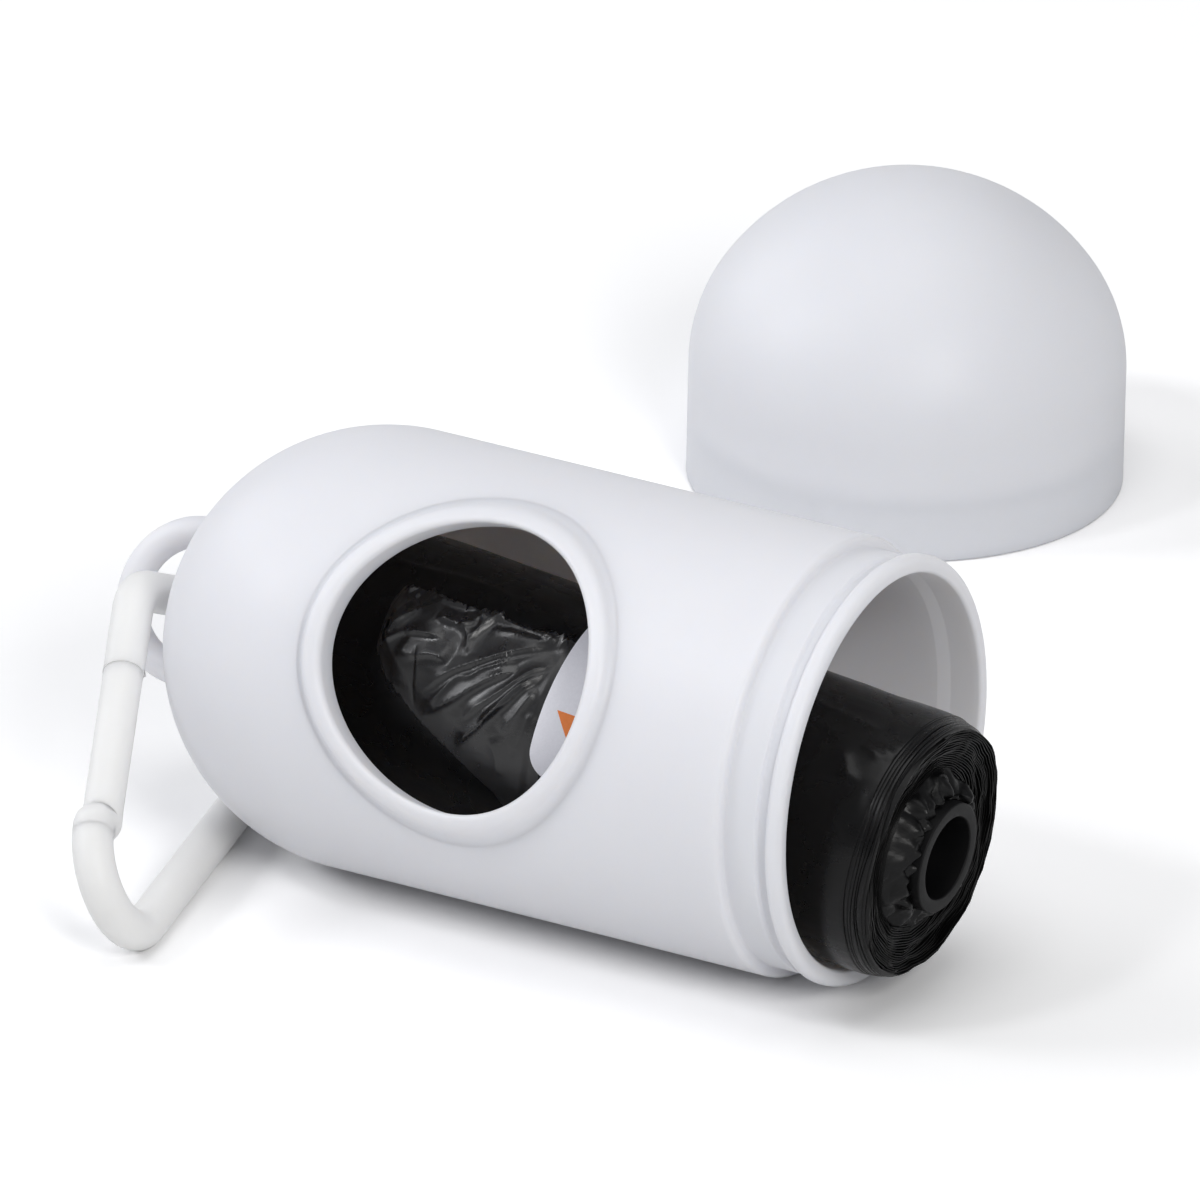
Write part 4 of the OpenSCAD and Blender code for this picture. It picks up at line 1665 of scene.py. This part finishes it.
        # the top edge is torn in teeth
        teeth = self.torn_teeth.at(along * 0.6, np.zeros_like(along))
        edge = 25.2 + 0.9 * teeth + 0.8 * np.abs(np.sin(along * 2.9)) + 0.6 * np.sin(along * 0.9)
        angle = edge + (self.loose_bottom - edge) * s
        height = self.loose_height(along, angle)
        # it lies down at its edges, and nearly flat under the label
        fade = smoothstep(0.0, 0.01, s) * smoothstep(0.0, 0.06, 1 - s) * smoothstep(0.0, 0.02, t)
        free = 1 - smoothstep(self.loose_end - 0.4, self.loose_end + 0.5, along)
        height = (0.14 + height * (0.08 + 0.92 * free)) * fade - sunk
        spread = self.radius + 0.02 + np.minimum(height, 0.98)
        turn = np.radians(angle)
        sides = [self.axes.place(round_axis(r, turn, along)) for r in (spread, self.radius - sunk)]
        loose = Piece.from_arrays("loose_bag_end", *self.slab(*sides))
        Piece.tidy(loose)
        Piece.dress(loose, finish, Body.FILM, Slot.FILM, ["leading_bag"])

    @staticmethod
    def slab(top: np.ndarray, low: np.ndarray) -> tuple[np.ndarray, Faces]:
        """Closes two grids of one size into a slab.

        Args:
            top: the upper grid.
            low: the lower grid.

        Returns:
            The points and the faces.
        """
        rows, cols = top.shape[:2]
        size = rows * cols
        faces: Faces = []
        for i in range(rows - 1):
            for j in range(cols - 1):
                a = i * cols + j
                faces.append((a, a + cols, a + cols + 1, a + 1))
                faces.append((size + a, size + a + 1, size + a + cols + 1, size + a + cols))
        rim = list(range(cols))
        rim += [i * cols + cols - 1 for i in range(1, rows)]
        rim += [(rows - 1) * cols + j for j in range(cols - 2, -1, -1)]
        rim += [i * cols for i in range(rows - 2, 0, -1)]
        for a, b in zip(rim, rim[1:] + rim[:1]):
            faces.append((a, b, size + b, size + a))
        return np.concatenate([top.reshape(-1, 3), low.reshape(-1, 3)]), faces

    def patch(
        self, name: str, along: np.ndarray, angle: np.ndarray, low: float, high: float
    ) -> Object:
        """Makes a thin curved sheet on the roll.

        Args:
            name: the object's name.
            along: places along the roll, as a grid.
            angle: angles round it in degrees, as a grid of the same size.
            low: radius of the underside.
            high: radius of the top.

        Returns:
            The object, linked to the scene.
        """
        sides = [self.axes.place(round_axis(r, np.radians(angle), along)) for r in (high, low)]
        obj = Piece.from_arrays(name, *self.slab(*sides))
        Piece.tidy(obj, sharp=45)
        return obj

    def build_label(self, paper: Material, ink: Material) -> None:
        """Lays the round-cornered label on the roll, and a plain printed pointer on it.

        Args:
            paper: the label's material.
            ink: the print's material.
        """
        base = self.radius + self.film_gap
        corner, width = self.label_corner, self.label_width
        ends = corner * (1 - np.cos(np.linspace(0, math.pi / 2, 12)))
        straight = np.linspace(corner, width - corner, 24)[1:-1]
        places = np.concatenate([ends, straight, width - ends[::-1]])
        # towards its ends the label is shorter by what its round corners take
        share = np.minimum(np.minimum(places, width - places) / corner, 1)
        cut = math.degrees(corner / base) * (1 - np.sqrt(np.clip(1 - (1 - share) ** 2, 0, 1)))
        top, bottom = self.label_top + cut[:, None], self.label_bottom - cut[:, None]
        angle = top + (bottom - top) * np.linspace(0, 1, 64)
        along = np.broadcast_to(self.label_start + places[:, None], angle.shape)
        label = self.patch("paper_label", along, angle, base, base + self.label_thick)
        Piece.dress(label, paper, Body.FILM, Slot.LABEL, ["roll_label"])
        self.build_pointer(base + self.label_thick, ink)

    def build_pointer(self, base: float, ink: Material) -> None:
        """Prints a plain triangle on the label.

        Args:
            base: the radius of the label's face.
            ink: the print's material.
        """
        inset, width, top, tall, blunt = 3.5, 4.0, 56.0, 10.5, 0.03
        t = np.linspace(0, 1, 16)[:, None]
        s = np.linspace(-0.5, 0.5, 14)[None, :]
        along = self.label_start + inset + width * s * (1 - (1 - blunt) * t)
        angle = np.broadcast_to(top + tall * t, along.shape)
        pointer = self.patch("label_pointer", along, angle, base - 0.02, base + 0.015)
        Piece.dress(pointer, ink, Body.FILM, Slot.LABEL)

    def build(self) -> None:
        """Builds and dresses the roll's pieces."""
        self.build_core(CORE_PE.build())
        self.build_film(BAG_FILM.build())
        self.build_edges(CUT_EDGES.build())
        self.build_ruffle(CRUSHED_FILM.build())
        self.build_loose(LOOSE_FILM.build())
        self.build_label(LABEL_PAPER.build(), LABEL_INK.build())


# ---- studio ----


@dataclass(frozen=True)
class Softbox:
    """A square softbox: its place and side in metres, its power in watts and its tint."""

    name: str
    spot: tuple[float, float, float]
    size: float
    watts: float
    tint: str

    def hang(self, aim: Vector) -> None:
        """Hangs the softbox so that it faces a point.

        Args:
            aim: the point, in metres.
        """
        light = bpy.data.lights.new(self.name, "AREA")
        light.shape, light.size, light.energy = "SQUARE", self.size, self.watts
        light.color = linear(self.tint)[:3]
        lamp = link_object(self.name, light)
        lamp.location = self.spot
        lamp.rotation_mode = "QUATERNION"
        lamp.rotation_quaternion = (aim - Vector(self.spot)).to_track_quat("-Z", "Y")


@dataclass
class Studio:
    """The plain sweep, the soft lights and the camera at the photograph's angle."""

    azimuth: float = 28.4853
    elevation: float = 24.2965
    roll: float = 1.2015
    distance: float = 2.4
    lens: float = 770.9
    aim_right: float = 19.3283
    aim_up: float = 5.6273
    aim_from: tuple[float, float, float] = (0.6, 0.0, -1.0)
    floor_half: float = 12.0
    fill: float = 0.33
    # the backdrop fades between these heights of a ray's direction
    backdrop_low: float = 0.08
    backdrop_high: float = 0.25
    light_aim: tuple[float, float, float] = (0.0, 0.0, 0.02)
    softboxes: tuple[Softbox, ...] = (
        Softbox("key_overhead", (0.05, -0.08, 1.25), 0.8, 3.9, "#FFFFFF"),
        Softbox("fill_front_right", (1.0, -0.85, 0.84), 0.5, 8.6, "#FFFEFC"),
        Softbox("gloss_left", (-1.02, -0.66, 0.8), 0.3, 4.0, "#FBFCFF"),
        Softbox("gloss_front_left", (-0.5, -0.72, 1.15), 0.18, 1.9, "#FBFCFF"),
        Softbox("fill_left", (-1.25, 0.15, 0.6), 0.6, 3.0, "#FBFCFF"),
    )

    def build_floor(self) -> None:
        """Lays the sweep's floor."""
        h = self.floor_half
        mesh = bpy.data.meshes.new("studio_floor")
        mesh.from_pydata([(-h, -h, 0), (h, -h, 0), (h, h, 0), (-h, h, 0)], [], [(0, 1, 2, 3)])
        floor = link_object("studio_floor", mesh)
        mesh.materials.append(SweepPaper().build())

    def build_world(self) -> None:
        """Fills the studio with a dim even light, and shows a white backdrop at the horizon."""
        world = bpy.data.worlds.new("studio")
        bpy.context.scene.world = world
        world.use_nodes = True
        tree = world.node_tree
        tree.nodes.clear()
        path = add_node(tree, "ShaderNodeLightPath").outputs
        place = add_node(tree, "ShaderNodeTexCoord").outputs["Generated"]
        height = add_node(tree, "ShaderNodeSeparateXYZ", {"Vector": place}).outputs["Z"]
        level = add_node(tree, "ShaderNodeMath", {0: height}, operation="ABSOLUTE")
        backdrop = add_node(
            tree, "ShaderNodeMapRange",
            {"Value": level, "From Min": self.backdrop_low, "From Max": self.backdrop_high,
             "To Min": 1.0, "To Max": 0.0},
        )
        seen = seen_as_white(tree, path, path["Is Glossy Ray"])
        shown = add_node(tree, "ShaderNodeMath", {0: seen, 1: backdrop}, operation="MULTIPLY")
        fill = add_node(
            tree, "ShaderNodeBackground", {"Color": linear("#FAFBFF"), "Strength": self.fill}
        )
        white = add_node(
            tree, "ShaderNodeBackground", {"Color": linear("#FFFFFF"), "Strength": 1.0}
        )
        both = add_node(tree, "ShaderNodeMixShader", {0: shown, 1: fill, 2: white})
        add_node(tree, "ShaderNodeOutputWorld", {"Surface": both})

    def build_camera(self, dome_centre: np.ndarray) -> None:
        """Sets the long-lens camera at the photograph's angle.

        Args:
            dome_centre: the housing's own origin, in millimetres.
        """
        a, e, r = (math.radians(x) for x in (self.azimuth, self.elevation, self.roll))
        back = np.array([math.sin(a) * math.cos(e), -math.cos(a) * math.cos(e), math.sin(e)])
        level = np.array([math.cos(a), math.sin(a), 0.0])
        rise = np.cross(back, level)
        right = level * math.cos(r) + rise * math.sin(r)
        up = rise * math.cos(r) - level * math.sin(r)
        aim = dome_centre + np.array(self.aim_from) + right * self.aim_right + up * self.aim_up
        camera = bpy.data.cameras.new("camera")
        camera.sensor_width, camera.lens = 36.0, self.lens
        camera.clip_start, camera.clip_end = 0.1, 50.0
        obj = link_object("camera", camera)
        turn = Matrix((right, up, back)).transposed().to_4x4()
        obj.matrix_world = Matrix.Translation(Vector(aim * MM + back * self.distance)) @ turn
        bpy.context.scene.camera = obj

    def build(self, dome_centre: np.ndarray) -> None:
        """Sets up the whole studio.

        Args:
            dome_centre: the housing's own origin, in millimetres.
        """
        self.build_camera(dome_centre)
        self.build_floor()
        self.build_world()
        for softbox in self.softboxes:
            softbox.hang(Vector(self.light_aim))
        bpy.context.scene.view_settings.view_transform = "Standard"


def main() -> None:
    """Builds the studio and every piece, in order."""
    logging.basicConfig(level=logging.INFO, format="%(name)s: %(message)s")
    housing = Housing()
    Studio().build(housing.axes.origin)
    abs_white = HOUSING_ABS.build()
    housing.build(abs_white)
    Cap().build(abs_white)
    SnapClip().build(CLIP_PP.build())
    BagRoll().build()


if __name__ == "__main__":
    main()
